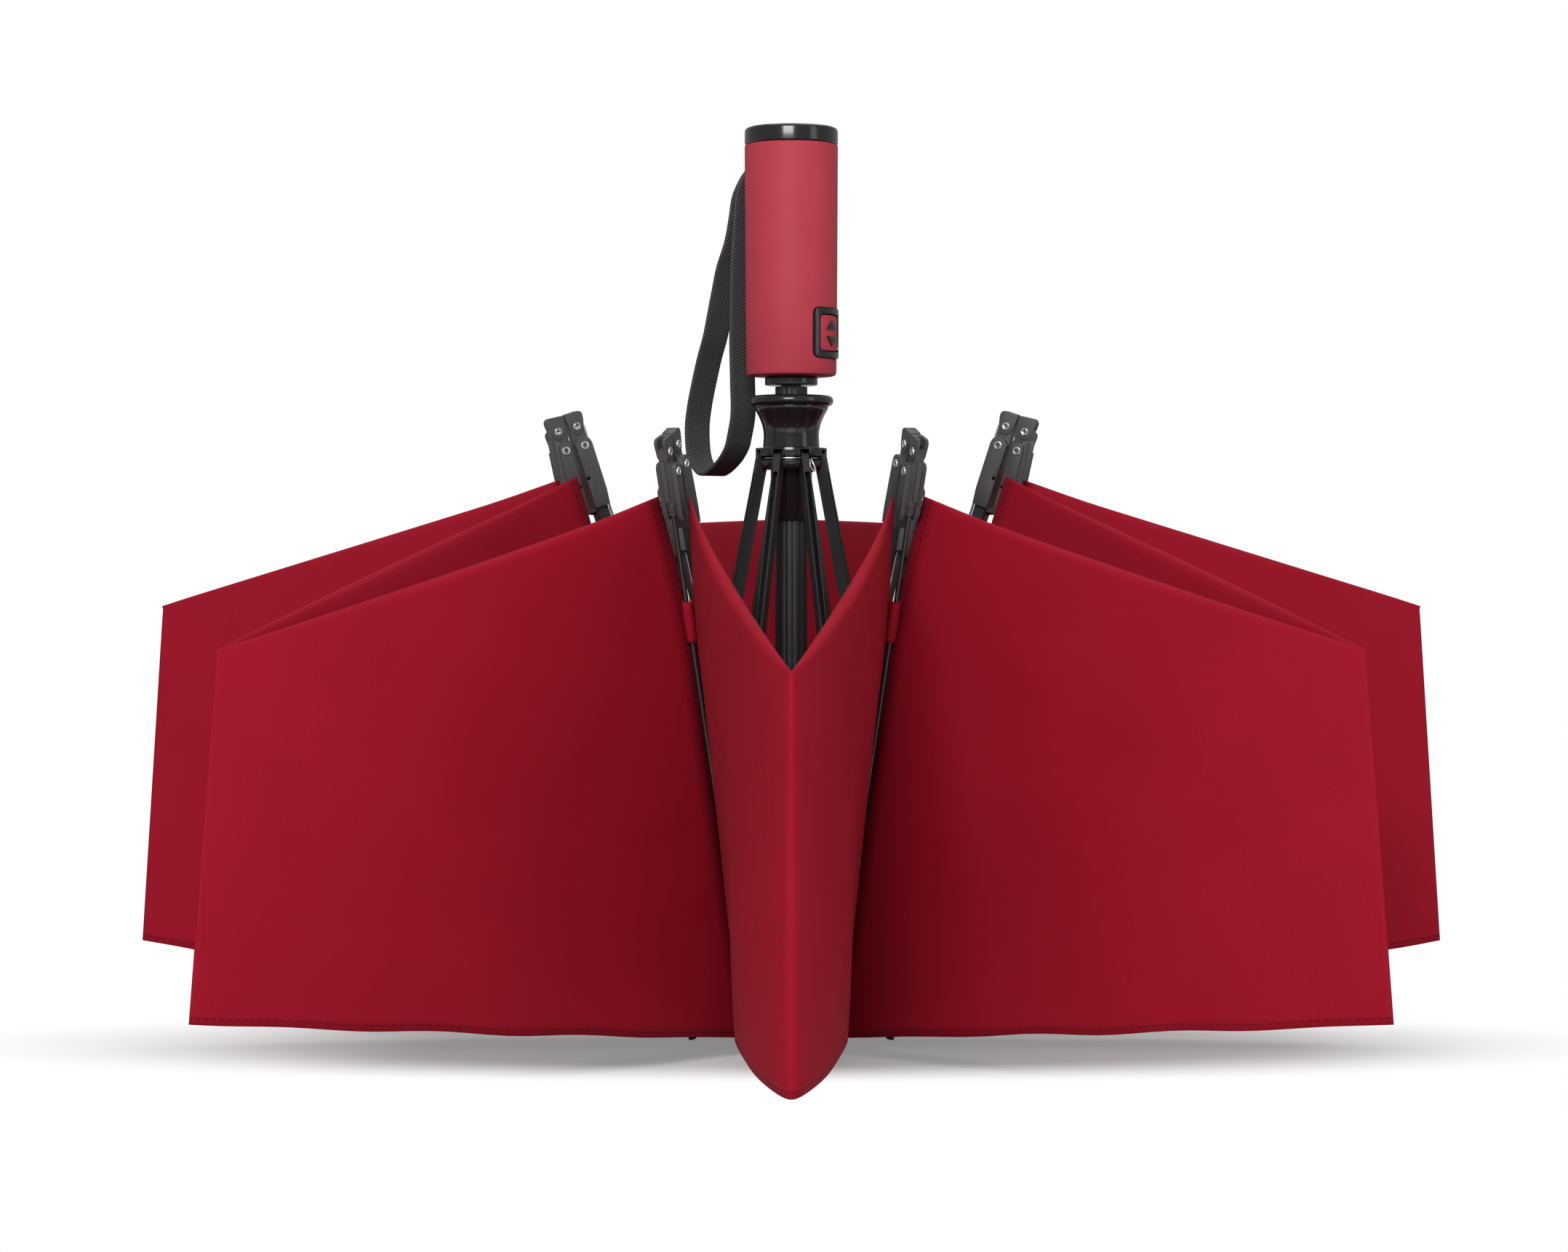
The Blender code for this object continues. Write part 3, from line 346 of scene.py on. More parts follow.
def moulded_grain():
    """Fine moulded grain and broad mottling: a colour mask, an uneven roughness and a shallow height."""
    group, given, end = shader_group(
        "moulded_grain", {"Scale": 900, "Roughness": 0.4, "Spread": 0.12, "Depth": 0.00002},
        ("Mottle", "Roughness", "Height"),
    )
    where = add_node(group, "ShaderNodeTexCoord").outputs["Object"]
    fine = add_node(group, "ShaderNodeTexNoise", {"Vector": where, "Scale": given["Scale"], "Detail": 3})
    broad = add_node(group, "ShaderNodeTexNoise", {"Vector": where, "Scale": 60, "Detail": 4})
    uneven = mathed(group, "SUBTRACT", broad.outputs["Fac"], 0.5)
    plug(group, end, {
        "Mottle": broad.outputs["Fac"],
        "Roughness": mathed(group, "MULTIPLY_ADD", uneven, given["Spread"], given["Roughness"]),
        "Height": mathed(group, "MULTIPLY", fine.outputs["Fac"], given["Depth"]),
    })
    return group


GRAIN = moulded_grain()


def moulded(name, dark, light, roughness, spread, scale, depth, coat=0.0, metallic=0.0, specular=0.5):
    """A moulded, enamelled or plated finish whose colour mottles a little between two shades."""
    material, tree, shader = new_material(name)
    inputs = {"Scale": scale, "Roughness": roughness, "Spread": spread, "Depth": depth}
    grain = add_node(tree, "ShaderNodeGroup", inputs, node_tree=GRAIN).outputs
    plug(tree, shader, {
        "Base Color": blended(tree, grain["Mottle"], (*dark, 1), (*light, 1)),
        "Roughness": grain["Roughness"],
        "Normal": bumped(tree, grain["Height"]),
        "Metallic": metallic,
        "Specular IOR Level": specular,
    })
    if coat:
        plug(tree, shader, {"Coat Weight": coat, "Coat Roughness": COAT_ROUGHNESS})
    return material


def give(obj, material):
    obj.data.materials.clear()
    obj.data.materials.append(material)


def settled(obj, sharp, tools=()):
    """The mesh that an object's modifiers make, with corners over an angle in degrees kept sharp."""
    bpy.context.view_layer.update()
    graph = bpy.context.evaluated_depsgraph_get()
    mesh = bpy.data.meshes.new_from_object(obj.evaluated_get(graph))
    for extra in (obj, *tools):
        bpy.data.objects.remove(extra, do_unlink=True)
    mesh.shade_smooth()
    mesh.set_sharp_from_angle(angle=math.radians(sharp))
    return mesh


def turned(name, profile, steps=96, edge=0.0):
    """A mesh turned from a closed outline of (radius, height), with its edges eased."""
    outline = bpy.data.meshes.new(name)
    count = len(profile)
    edges = [(i, (i + 1) % count) for i in range(count)]
    outline.from_pydata([(radius, 0, height) for radius, height in profile], edges, [])
    obj = placed(name, outline)
    screw = obj.modifiers.new("turn", "SCREW")
    screw.steps = screw.render_steps = steps
    screw.use_merge_vertices = True
    screw.merge_threshold = ONE_POINT
    screw.use_normal_calculate = True
    if edge:
        ease_edges(obj, edge, segments=3, from_angle=32)
    return settled(obj, sharp=40)


gloss_black = moulded(
    "gloss_black_plastic", (0.006, 0.006, 0.007), (0.014, 0.014, 0.015),
    roughness=0.17, spread=0.06, scale=1200, depth=0.000004, coat=0.3,
)
grey_plastic = moulded(
    "grey_moulded_plastic", (0.035, 0.035, 0.037), (0.075, 0.075, 0.078),
    roughness=0.46, spread=0.14, scale=1500, depth=0.00003,
)
bright_wire = moulded(
    "bright_wire", (0.6, 0.6, 0.61), (0.78, 0.78, 0.79),
    roughness=0.22, spread=0.1, scale=2500, depth=0.000006, metallic=1.0,
)
cap_profile = [
    (0, CAP_HEIGHT), (CAP_RADIUS - CAP_SHOULDER_IN, CAP_HEIGHT),
    (CAP_RADIUS, CAP_HEIGHT - CAP_SHOULDER_DOWN), (CAP_RADIUS, CAP_FOOT_SLOPE),
    (CAP_RADIUS - CAP_FOOT_SLOPE, 0), (0, 0),
]
cap_mesh = turned("crown_cap_moulding", cap_profile, edge=SOFT_EDGE)
cap = piece("crown_cap_moulding", cap_mesh, gloss_black, "crown")
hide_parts("crown_cap")
give(frame["nodes"]["crown_notch"], grey_plastic)
give(frame["nodes"]["crown_wire"], bright_wire)

# Three drawn steel tubes slide in one another, black enamelled, the outer one with shallow flutes.
# The crown holds the outer tube, and the grip holds the innermost.
TUBE_RADIUS, TUBE_WALL, TUBE_CLEARANCE = 0.0064, 0.0008, 0.0004
TUBE_FOOT, TUBE_TOP = 0.0101, 0.2619
FLUTES, FLUTE_DEPTH, FLUTE_STEPS = 12, 0.0004, 8


def band(maker, first, second):
    """Faces all the way round between two closed rings of vertices."""
    for i in range(len(first)):
        j = (i + 1) % len(first)
        maker.faces.new((first[i], first[j], second[j], second[i]))


def fluted_tube(name):
    """A tube whose outside dips in a smooth groove between each two ridges."""
    maker = bmesh.new()
    around = FLUTES * FLUTE_STEPS
    rings = []
    for height in (TUBE_FOOT, TUBE_TOP):
        for inside in (False, True):
            ring = []
            for i in range(around):
                turn = 2 * math.pi * i / around
                groove = FLUTE_DEPTH * max(0.0, math.sin(FLUTES * turn)) ** 2
                radius = TUBE_RADIUS - (TUBE_WALL if inside else groove)
                ring.append(maker.verts.new((radius * math.cos(turn), radius * math.sin(turn), height)))
            rings.append(ring)
    low_out, low_in, top_out, top_in = rings
    for first, second in ((low_out, top_out), (top_out, top_in), (top_in, low_in), (low_in, low_out)):
        band(maker, first, second)
    mesh = finished(maker, name)
    mesh.shade_smooth()
    mesh.set_sharp_from_angle(angle=math.radians(50))
    return mesh


black_enamel = moulded(
    "black_enamel", (0.008, 0.008, 0.009), (0.02, 0.02, 0.022),
    roughness=0.42, spread=0.12, scale=700, depth=0.00001,
)
tube = piece("fluted_outer_tube", fluted_tube("fluted_outer_tube"), black_enamel, "crown")
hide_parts("shaft_outer_tube")
for node in ("shaft_middle_tube", "shaft_inner_tube"):
    give(frame["nodes"][node], black_enamel)

# The runner is a glossy trumpet that a hand pushes, with a slotted ring under it for the stretchers.
# A steel wire ties the stretchers into the ring, its ends twisted together at the right of the front.
BORE = 0.0068
RUNNER_TOP, RUNNER_FOOT = 0.2584, 0.2378
RIM, RIM_ROUND, RIM_FLAT = 0.0168, 0.0021, 0.0024
# How far below the rim, and the trumpet's radius there
FLARE = (
    (0.0047, 0.0148), (0.0062, 0.0141), (0.0079, 0.01315), (0.0098, 0.0123),
    (0.0119, 0.01155), (0.0142, 0.0111), (0.0166, 0.011), (0.0196, 0.0112),
)
RING, RING_TOP, RING_DEEP, RING_TAPER = 0.0142, 0.2375, 0.0084, 0.0006
SLEEVE, SLEEVE_FOOT = 0.0082, 0.209
SLOT, SLOT_ROOF, SLOT_EDGE = 0.0038, 0.0008, 0.00025
WIRE_RING, WIRE_RADIUS, WIRE_GROOVE = 0.0126, 0.00045, 0.0008
WIRE_STEPS, WIRE_ROUNDNESS = 72, 2
OVERRUN = 0.002  # how far a cut goes past a face
TWIST_AZIMUTH, TWIST_GAP, TWIST_REACH = -58, 2.865, 0.0146
# The wire's two ends from the twist, in millimetres sideways, outwards and up
SHORT_TAIL = ((0.4, 0, -1), (1.2, 0.6, -3.2), (1.7, 0.8, -5.2))
HOOKED_TAIL = ((-0.4, 0, -1), (-0.9, 0.6, -3), (0.2, 1, -5.4), (1.2, 1, -4.8))
JOIN, CUT = "UNION", "DIFFERENCE"
pivot_z = RING_TOP - RING_DEEP / 2
ring_foot = RING_TOP - RING_DEEP


def rib_azimuth(index):
    return -math.pi / 2 + (index + 0.5) * 2 * math.pi / RIBS


def arc(middle, radius, start, end, steps):
    """Points along an arc from one angle to another, both in degrees."""
    turns = [math.radians(start + (end - start) * step / steps) for step in range(steps + 1)]
    return [(middle[0] + radius * math.cos(turn), middle[1] + radius * math.sin(turn)) for turn in turns]


def solid_block(low, high):
    maker = bmesh.new()
    bmesh.ops.create_cube(maker, size=1.0)
    low, high = Vector(low), Vector(high)
    place = Matrix.Translation((low + high) / 2) @ Matrix.Diagonal((*(high - low), 1))
    bmesh.ops.transform(maker, matrix=place, verts=maker.verts)
    return finished(maker, "block")


def round_bar(start, end, radius, end_radius=None, sides=20):
    """A round bar between two points, which may taper to a second radius."""
    start, end = Vector(start), Vector(end)
    maker = bmesh.new()
    bmesh.ops.create_cone(
        maker, cap_ends=True, segments=sides, radius1=radius,
        radius2=radius if end_radius is None else end_radius, depth=(end - start).length,
    )
    turn = Vector((0, 0, 1)).rotation_difference(end - start).to_matrix().to_4x4()
    bmesh.ops.transform(maker, matrix=Matrix.Translation((start + end) / 2) @ turn, verts=maker.verts)
    return finished(maker, "bar")


def fitted(first, others, edge=0.0, segments=2, sharp=35):
    """One closed mesh from a first mesh and the meshes that are joined to it or cut from it, each with
    its own place where it has one."""
    obj = placed("fitting", first)
    tools = []
    for operation, mesh, *place in others:
        tool = placed("tool", mesh)
        if place:
            tool.matrix_world = place[0]
        tools.append(tool)
        boolean = obj.modifiers.new("fit", "BOOLEAN")
        boolean.operation = operation
        boolean.object = tool
    if edge:
        ease_edges(obj, edge, segments, from_angle=40)
    return settled(obj, sharp, tools)


def bent_wire(name, points, radius):
    """A round wire with closed ends along a line of points."""
    curve = bpy.data.curves.new(name, "CURVE")
    curve.dimensions = "3D"
    curve.bevel_depth = radius
    curve.bevel_resolution = WIRE_ROUNDNESS
    curve.use_fill_caps = True
    spline = curve.splines.new("POLY")
    spline.points.add(len(points) - 1)
    for spot, point in zip(spline.points, points):
        spot.co = (*point, 1)
    return curve


runner_profile = [
    (BORE, RUNNER_TOP), (RIM - RIM_FLAT, RUNNER_TOP),
    *arc((RIM - RIM_ROUND, RUNNER_TOP - RIM_ROUND), RIM_ROUND, 90, -90, 8),
    *((radius, RUNNER_TOP - down) for down, radius in FLARE),
    (FLARE[-1][1], RUNNER_FOOT), (BORE, RUNNER_FOOT),
]
runner = piece("trumpet_runner", turned("trumpet_runner", runner_profile), gloss_black, "runner")
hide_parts("runner")

groove_in, groove_top, groove_foot = WIRE_RING - WIRE_GROOVE, pivot_z + WIRE_GROOVE, pivot_z - WIRE_GROOVE
ring_profile = [
    (BORE, RING_TOP), (RING, RING_TOP), (RING, groove_top), (groove_in, groove_top),
    (groove_in, groove_foot), (RING, groove_foot), (RING - RING_TAPER, ring_foot),
    (SLEEVE, ring_foot), (SLEEVE, SLEEVE_FOOT), (BORE, SLEEVE_FOOT),
]
slot_low = (SLEEVE + GAP, -SLOT / 2, ring_foot - OVERRUN)
slot_high = (RING + OVERRUN, SLOT / 2, RING_TOP - SLOT_ROOF)
slots = [
    (CUT, solid_block(slot_low, slot_high), Matrix.Rotation(rib_azimuth(index), 4, "Z"))
    for index in range(RIBS)
]
ring_mesh = fitted(turned("ring_blank", ring_profile, steps=64), slots, edge=SLOT_EDGE)
ring = piece("slotted_ring", ring_mesh, gloss_black, "runner")
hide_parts("runner_ring")

twist_start, twist_end = TWIST_AZIMUTH + 360 - TWIST_GAP, TWIST_AZIMUTH + TWIST_GAP
wire_round = [(x, y, pivot_z) for x, y in arc((0, 0), WIRE_RING, twist_start, twist_end, WIRE_STEPS)]
twist_turn = Matrix.Rotation(math.radians(TWIST_AZIMUTH), 3, "Z")
twist = Vector((TWIST_REACH, 0, pivot_z))
short_tail, hooked_tail = (
    [twist_turn @ (twist + Vector((out, aside, up)) * MM) for aside, out, up in tail]
    for tail in (SHORT_TAIL, HOOKED_TAIL)
)
wire = bent_wire("runner_lashing_wire", [*reversed(hooked_tail), *wire_round, *short_tail], WIRE_RADIUS)
lashing = piece("runner_lashing_wire", wire, bright_wire, "runner")
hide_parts("runner_wire")

# Each stretcher is a black enamelled steel channel, open towards the outside, that the runner pushes.
# A flat tongue at its foot lies against the side of its rib, with a rivet's head on it.
CROWN_RING, RIB_PIVOT = 0.0106, 0.014
RIB_LONG, RIB_DEEP, RIB_WIDE, RIB_WALL = 0.25, 0.0044, 0.0032, 0.0006
SPLAYS = (25, 19.2, 20.5, 30.8)  # in degrees, from the front pair of ribs to the rear pair
STRETCHER_LONG, STRETCHER_WIDE, STRETCHER_WALL, STRETCHER_EDGE = 0.14, 0.003, 0.0005, 0.00018
TONGUE_LONG, TONGUE_THICK, TONGUE_PAST, JOG = 0.016, 0.0012, 0.003, 0.004
EYE, EYE_BORE, EYE_SOLID, BORE_HALF = 0.0021, 0.0009, 0.0063, 0.004
RIVET_RADIUS, RIVET_UP, RIVET_SUNK, RIVET_PROUD = 0.0012, 0.001, 0.0003, 0.0005


def splay_of(index):
    return math.radians(SPLAYS[min(index, RIBS - 1 - index)])


def on_ray(azimuth, radius, height, lean):
    """A place out along an azimuth, leaning outwards by an angle."""
    out = Matrix.Translation((radius, 0, height)) @ Matrix.Rotation(lean, 4, "Y")
    return Matrix.Rotation(azimuth, 4, "Z") @ out


def stretcher_lean(splay):
    """The angle at which a stretcher from the runner's wire meets its rib."""
    across, up = CROWN_RING - WIRE_RING, RIB_PIVOT - pivot_z
    half = across * math.sin(splay) + up * math.cos(splay)
    along = -half - math.sqrt(half**2 - across**2 - up**2 + STRETCHER_LONG**2)
    return math.atan2(across + along * math.sin(splay), -(up + along * math.cos(splay)))


def bored_eye(half_wide):
    """A round end on a channel, bored through for a wire."""
    return [
        (JOIN, round_bar((0, -half_wide, 0), (0, half_wide, 0), EYE)),
        (CUT, round_bar((0, -BORE_HALF, 0), (0, BORE_HALF, 0), EYE_BORE)),
    ]


half_deep, half_wide = RIB_DEEP / 2, STRETCHER_WIDE / 2
side_in = RIB_WIDE / 2 + GAP
side_out = side_in + TONGUE_THICK
inner_half = half_wide - STRETCHER_WALL
channel_end = TONGUE_LONG - STRETCHER_LONG
rivet_z = RIVET_UP - STRETCHER_LONG
stretcher_mesh = fitted(
    solid_block((-half_deep, -half_wide, channel_end), (half_deep, half_wide, 0)),
    [
        *bored_eye(half_wide),
        (CUT, solid_block(
            (-half_deep + STRETCHER_WALL, -inner_half, channel_end - OVERRUN),
            (half_deep + OVERRUN, inner_half, -EYE_SOLID),
        )),
        (JOIN, solid_block(
            (-half_deep, inner_half, channel_end), (half_deep, side_out, channel_end + JOG),
        )),
        (JOIN, solid_block(
            (-half_deep, side_in, -STRETCHER_LONG - TONGUE_PAST),
            (half_deep, side_out, channel_end + JOG / 2),
        )),
        (JOIN, round_bar(
            (0, side_in + RIVET_SUNK, rivet_z), (0, side_out + RIVET_PROUD, rivet_z),
            RIVET_RADIUS, sides=16,
        )),
    ],
    edge=STRETCHER_EDGE,
)
for index in range(RIBS):
    number = index + 1
    stretcher = piece(
        f"stretcher_channel_{number}", stretcher_mesh, black_enamel, f"stretcher_body_{number}",
        on_ray(rib_azimuth(index), WIRE_RING, pivot_z, -stretcher_lean(splay_of(index))),
    )
    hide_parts(f"stretcher_{number}")

# Each inner rib is a black enamelled channel, pierced along its back and open towards the shaft, with a
# bright drawn coil spring and its pull wire lying in it. Its lower end is bored for the crown's wire, and
# its upper end sits in the elbow.
LINK_LONG, SOCKET = 0.038, 0.014
RIB_EDGE = 0.00015
PIERCINGS, PIERCING_PITCH, PIERCING_START, PIERCING_LONG, PIERCING_HALF = 9, 0.019, 0.035, 0.007, 0.0007
SPRING_X, SPRING_RADIUS, SPRING_PITCH, SPRING_SIDES = -0.0006, 0.0009, 0.0009, 10
SPRING_LOW, SPRING_HIGH = 0.12, 0.2
# A turn of the spring, as shares of its pitch and of its radius
COIL_SHARES = ((0.0, 0.72), (0.5, 1.0))
PULL_WIRE, PULL_FOOT, PULL_SHORT = 0.00045, 0.02, 0.003
DRAW_MARKS = (900, 900, 14)  # across and along the metal


def drawn_aluminium():
    """Long fine draw marks along the metal, in colour, shine and height."""
    material, tree, shader = new_material("drawn_aluminium")
    where = add_node(tree, "ShaderNodeTexCoord").outputs["Object"]
    stretch = add_node(tree, "ShaderNodeMapping", {"Vector": where, "Scale": DRAW_MARKS}).outputs[0]
    marks = add_node(tree, "ShaderNodeTexNoise", {"Vector": stretch, "Scale": 1.0, "Detail": 3}).outputs[0]
    plug(tree, shader, {
        "Base Color": blended(tree, marks, (0.5, 0.5, 0.51, 1), (0.86, 0.86, 0.87, 1)),
        "Roughness": ranged(tree, marks, 0.2, 0.42),
        "Normal": bumped(tree, marks, 0.00001),
        "Metallic": 1.0,
    })
    return material


def gathered(name, meshes):
    """Several loose meshes as one piece's mesh."""
    maker = bmesh.new()
    for mesh in meshes:
        maker.from_mesh(mesh)
    whole = finished(maker, name)
    whole.shade_smooth()
    whole.set_sharp_from_angle(angle=math.radians(35))
    return whole


def lofted(name, outlines):
    """A closed mesh through closed outlines, one after the other, with flat ends."""
    maker = bmesh.new()
    rings = [[maker.verts.new(point) for point in outline] for outline in outlines]
    for first, second in zip(rings, rings[1:]):
        band(maker, first, second)
    maker.faces.new(rings[-1])
    maker.faces.new(list(reversed(rings[0])))
    bmesh.ops.recalc_face_normals(maker, faces=maker.faces)
    return finished(maker, name)


def coil_spring():
    """A close-wound spring as a tube with a ridge for each turn."""
    outlines = []
    for turn in range(round((SPRING_HIGH - SPRING_LOW) / SPRING_PITCH) + 1):
        for rise, swell in COIL_SHARES:
            z = min(SPRING_HIGH, SPRING_LOW + (turn + rise) * SPRING_PITCH)
            radius = SPRING_RADIUS * swell
            turns = [2 * math.pi * k / SPRING_SIDES for k in range(SPRING_SIDES)]
            outlines.append([(SPRING_X + radius * math.cos(a), radius * math.sin(a), z) for a in turns])
    return lofted("coil_spring", outlines)


aluminium = drawn_aluminium()
rib_top = RIB_LONG - LINK_LONG + SOCKET - GAP
half_rib = RIB_WIDE / 2
rib_cuts = bored_eye(half_rib)
rib_cuts.append((CUT, solid_block(
    (-half_deep - OVERRUN, -half_rib + RIB_WALL, EYE_SOLID),
    (half_deep - RIB_WALL, half_rib - RIB_WALL, rib_top + OVERRUN),
)))
for hole in range(PIERCINGS):
    low = PIERCING_START + hole * PIERCING_PITCH
    pierced = solid_block((0, -PIERCING_HALF, low), (RIB_DEEP, PIERCING_HALF, low + PIERCING_LONG))
    rib_cuts.append((CUT, pierced))
rib_blank = solid_block((-half_deep, -half_rib, 0), (half_deep, half_rib, rib_top))
rib_mesh = fitted(rib_blank, rib_cuts, edge=RIB_EDGE)
spring_mesh = gathered("rib_spring", [
    coil_spring(),
    round_bar((SPRING_X, 0, SPRING_LOW), (SPRING_X, 0, PULL_FOOT), PULL_WIRE, sides=12),
    round_bar((SPRING_X, 0, SPRING_HIGH), (SPRING_X, 0, rib_top - PULL_SHORT), PULL_WIRE, sides=12),
])
for index in range(RIBS):
    number = index + 1
    place = on_ray(rib_azimuth(index), CROWN_RING, RIB_PIVOT, splay_of(index))
    rib = piece(f"rib_channel_{number}", rib_mesh, black_enamel, f"rib_{number}", place)
    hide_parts(f"inner_rib_{number}")
    spring = piece(f"rib_spring_{number}", spring_mesh, aluminium, f"rib_{number}", place)

# An elbow is a moulded plastic head and link on the end of each inner rib, fixed with a cross-head screw
# and a tubular rivet. The outer rib's own head closes against it when the umbrella is folded. A bright
# wire runs from it down the outside of the rib.
HEAD_WIDE, HEAD_THICK, HEAD_OFFSET, NECK_THICK = 0.0074, 0.0044, 0.00375, 0.0034
HEAD_CORNER, HEAD_LOBE, LOBE_BELOW, WAIST_DOWN = 0.0018, 0.0028, 0.0004, 0.0034
HEAD_SLOPE_DOWN, HEAD_SLOPE_IN, WAIST_IN = 0.0012, 0.0006, 0.0002
NECK_IN, NECK_DOWN, NECK_START = 0.0009, 0.004, 0.003
LINK_WIDE, LINK_THICK, BAR_DROP = 0.0066, 0.008, 0.01
LINK_SHOULDER, LINK_SLOPE_IN, LINK_SLOPE_UP = 0.0024, 0.0006, 0.006
PIN_HOLE, PIN_IN, PIN_DROP, PIN_HALF = 0.0008, 0.0009, 0.0262, 0.01
SCREW_DROP, SCREW_FOOT, SCREW_TOP, SCREW_SUNK, FIXING_PROUD = 0.0056, 0.0017, 0.00145, 0.0003, 0.0004
CROSS_LONG, CROSS_HALF, CROSS_DEEP, CROSS_PAST = 0.0012, 0.0002, 0.0005, 0.0001
EYELET_DROP, EYELET_FOOT, EYELET_TOP, EYELET_SUNK, EYELET_BORE = 0.0135, 0.0018, 0.0016, 0.0006, 0.0009
ELBOW_EDGE, SCREW_EDGE, EYELET_EDGE = 0.0004, 0.00008, 0.0001
STAY_WIRE, STAY_SUNK, STAY_TOP, STAY_LONG = 0.00045, 0.0002, 0.0062, 0.09
plated_steel = moulded(
    "plated_steel", (0.55, 0.55, 0.56), (0.82, 0.82, 0.83),
    roughness=0.24, spread=0.12, scale=2600, depth=0.00001, metallic=1.0,
)


def plate(outline, thin_from, thin_to):
    """A flat outline of (x, z), drawn out along Y."""
    return lofted("plate", [[(x, y, z) for x, z in outline] for y in (thin_from, thin_to)])


def head_outline(side):
    """A head seen from its side: a flat top, a round outer corner, and a lobe round the screw."""
    near = GAP / 2
    middle = (HEAD_WIDE / 2, -SCREW_DROP - LOBE_BELOW)
    points = [
        (near, -HEAD_SLOPE_DOWN), (near + HEAD_SLOPE_IN, 0), (HEAD_WIDE - HEAD_CORNER, 0),
        *arc((HEAD_WIDE - HEAD_CORNER, -HEAD_CORNER), HEAD_CORNER, 67.5, 0, 3),
        (HEAD_WIDE - WAIST_IN, -WAIST_DOWN),
        *arc(middle, HEAD_LOBE, -12, -168, 8),
        (near + WAIST_IN, -WAIST_DOWN),
    ]
    return [(side * x, z) for x, z in points]


def screw_head(x, z, face):
    """A plated pan head with a cross cut in it, on both sides of a head."""
    parts = []
    for way in (1, -1):
        top = way * (face + FIXING_PROUD)
        low, high = sorted((top, top - way * CROSS_DEEP))
        cross = [
            (CUT, solid_block((x - a, low, z - b), (x + a, high + CROSS_PAST, z + b)))
            for a, b in ((CROSS_LONG, CROSS_HALF), (CROSS_HALF, CROSS_LONG))
        ]
        pan = round_bar((x, way * (face - SCREW_SUNK), z), (x, top, z), SCREW_FOOT, SCREW_TOP, sides=28)
        parts.append(fitted(pan, cross, edge=SCREW_EDGE))
    return parts


def eyelet(x, z, face):
    """A rolled tubular rivet: a bright ring round a dark hole, on both sides."""
    parts = []
    for way in (1, -1):
        foot, top = way * (face - EYELET_SUNK), way * (face + FIXING_PROUD)
        bore_foot, bore_top = way * (face - FIXING_PROUD), way * (face + OVERRUN)
        collar = round_bar((x, foot, z), (x, top, z), EYELET_FOOT, EYELET_TOP, sides=28)
        bore = round_bar((x, bore_foot, z), (x, bore_top, z), EYELET_BORE)
        parts.append(fitted(collar, [(CUT, bore)], edge=EYELET_EDGE))
    return parts


far, near = -GAP - LINK_WIDE, -GAP
link_round = LINK_WIDE / 2
link_outline = [
    (near, -BAR_DROP - LINK_SHOULDER), (near, -LINK_LONG), (far + LINK_SLOPE_IN, -LINK_LONG),
    (far, -LINK_LONG + LINK_SLOPE_UP),
    *arc((-HEAD_OFFSET, -BAR_DROP - link_round), link_round, 180, 30, 5),
]
socket_deep, socket_wide = half_deep + GAP, half_rib + GAP
pin_x = near - PIN_IN
elbow_mesh = fitted(
    plate(head_outline(-1), -HEAD_THICK / 2, HEAD_THICK / 2),
    [
        (JOIN, solid_block(
            (-HEAD_WIDE + NECK_IN, -NECK_THICK / 2, -BAR_DROP - NECK_DOWN),
            (near - WAIST_IN, NECK_THICK / 2, -NECK_START),
        )),
        (JOIN, plate(link_outline, -LINK_THICK / 2, LINK_THICK / 2)),
        (CUT, solid_block(
            (-HEAD_OFFSET - socket_deep, -socket_wide, -LINK_LONG - OVERRUN),
            (-HEAD_OFFSET + socket_deep, socket_wide, -LINK_LONG + SOCKET),
        )),
        (CUT, round_bar((pin_x, -PIN_HALF, -PIN_DROP), (pin_x, PIN_HALF, -PIN_DROP), PIN_HOLE, sides=16)),
    ],
    edge=ELBOW_EDGE, segments=3,
)
stay_x = far - STAY_WIRE + STAY_SUNK
elbow_metal = gathered("elbow_metal", [
    *screw_head(-HEAD_WIDE / 2, -SCREW_DROP, HEAD_THICK / 2),
    *eyelet(-HEAD_OFFSET, -EYELET_DROP, LINK_THICK / 2),
    round_bar((stay_x, 0, -STAY_TOP), (stay_x, 0, -LINK_LONG - STAY_LONG), STAY_WIRE, sides=14),
])


def elbow_spot(index):
    """The radius and the height of an elbow's hinge."""
    splay = splay_of(index)
    return (
        CROWN_RING + RIB_LONG * math.sin(splay) + HEAD_OFFSET * math.cos(splay),
        RIB_PIVOT + RIB_LONG * math.cos(splay) - HEAD_OFFSET * math.sin(splay),
    )


for index in range(RIBS):
    number = index + 1
    place = on_ray(rib_azimuth(index), *elbow_spot(index), splay_of(index))
    elbow = piece(f"elbow_moulding_{number}", elbow_mesh, grey_plastic, f"rib_{number}", place)
    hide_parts(f"elbow_{number}")
    fixings = piece(f"elbow_fixings_{number}", elbow_metal, plated_steel, f"rib_{number}", place)

# An outer rib is a thin black glass-fibre rod in a moulded holder with a forked head, its tip in a bead.
# The cloth is sewn to it by a small tie and ends at the bead.
TILTS = (20, 13.5, 13.5, 27.5)  # in degrees, from the front pair to the rear pair
OUTER_LONG = 0.249
HOLDER_LONG, HOLDER_RADIUS, HOLDER_TOP, HOLDER_EDGE = 0.03, 0.0024, 0.0095, 0.0003
HOLDER_SWELL, HOLDER_SLOPE, NOSE_TAPER, NOSE_LONG, NOSE_OVERLAP = 0.0002, 0.0001, 0.0007, 0.004, 0.002
FORK_IN, FORK_HALF, FORK_DEEP = 0.0026, 0.0011, 0.0042
HOLDER_NECK_TOP = 0.0046
FIN_OUT, FIN_HALF, FIN_TOP, FIN_FOOT = 0.0036, 0.0009, 0.0085, 0.024
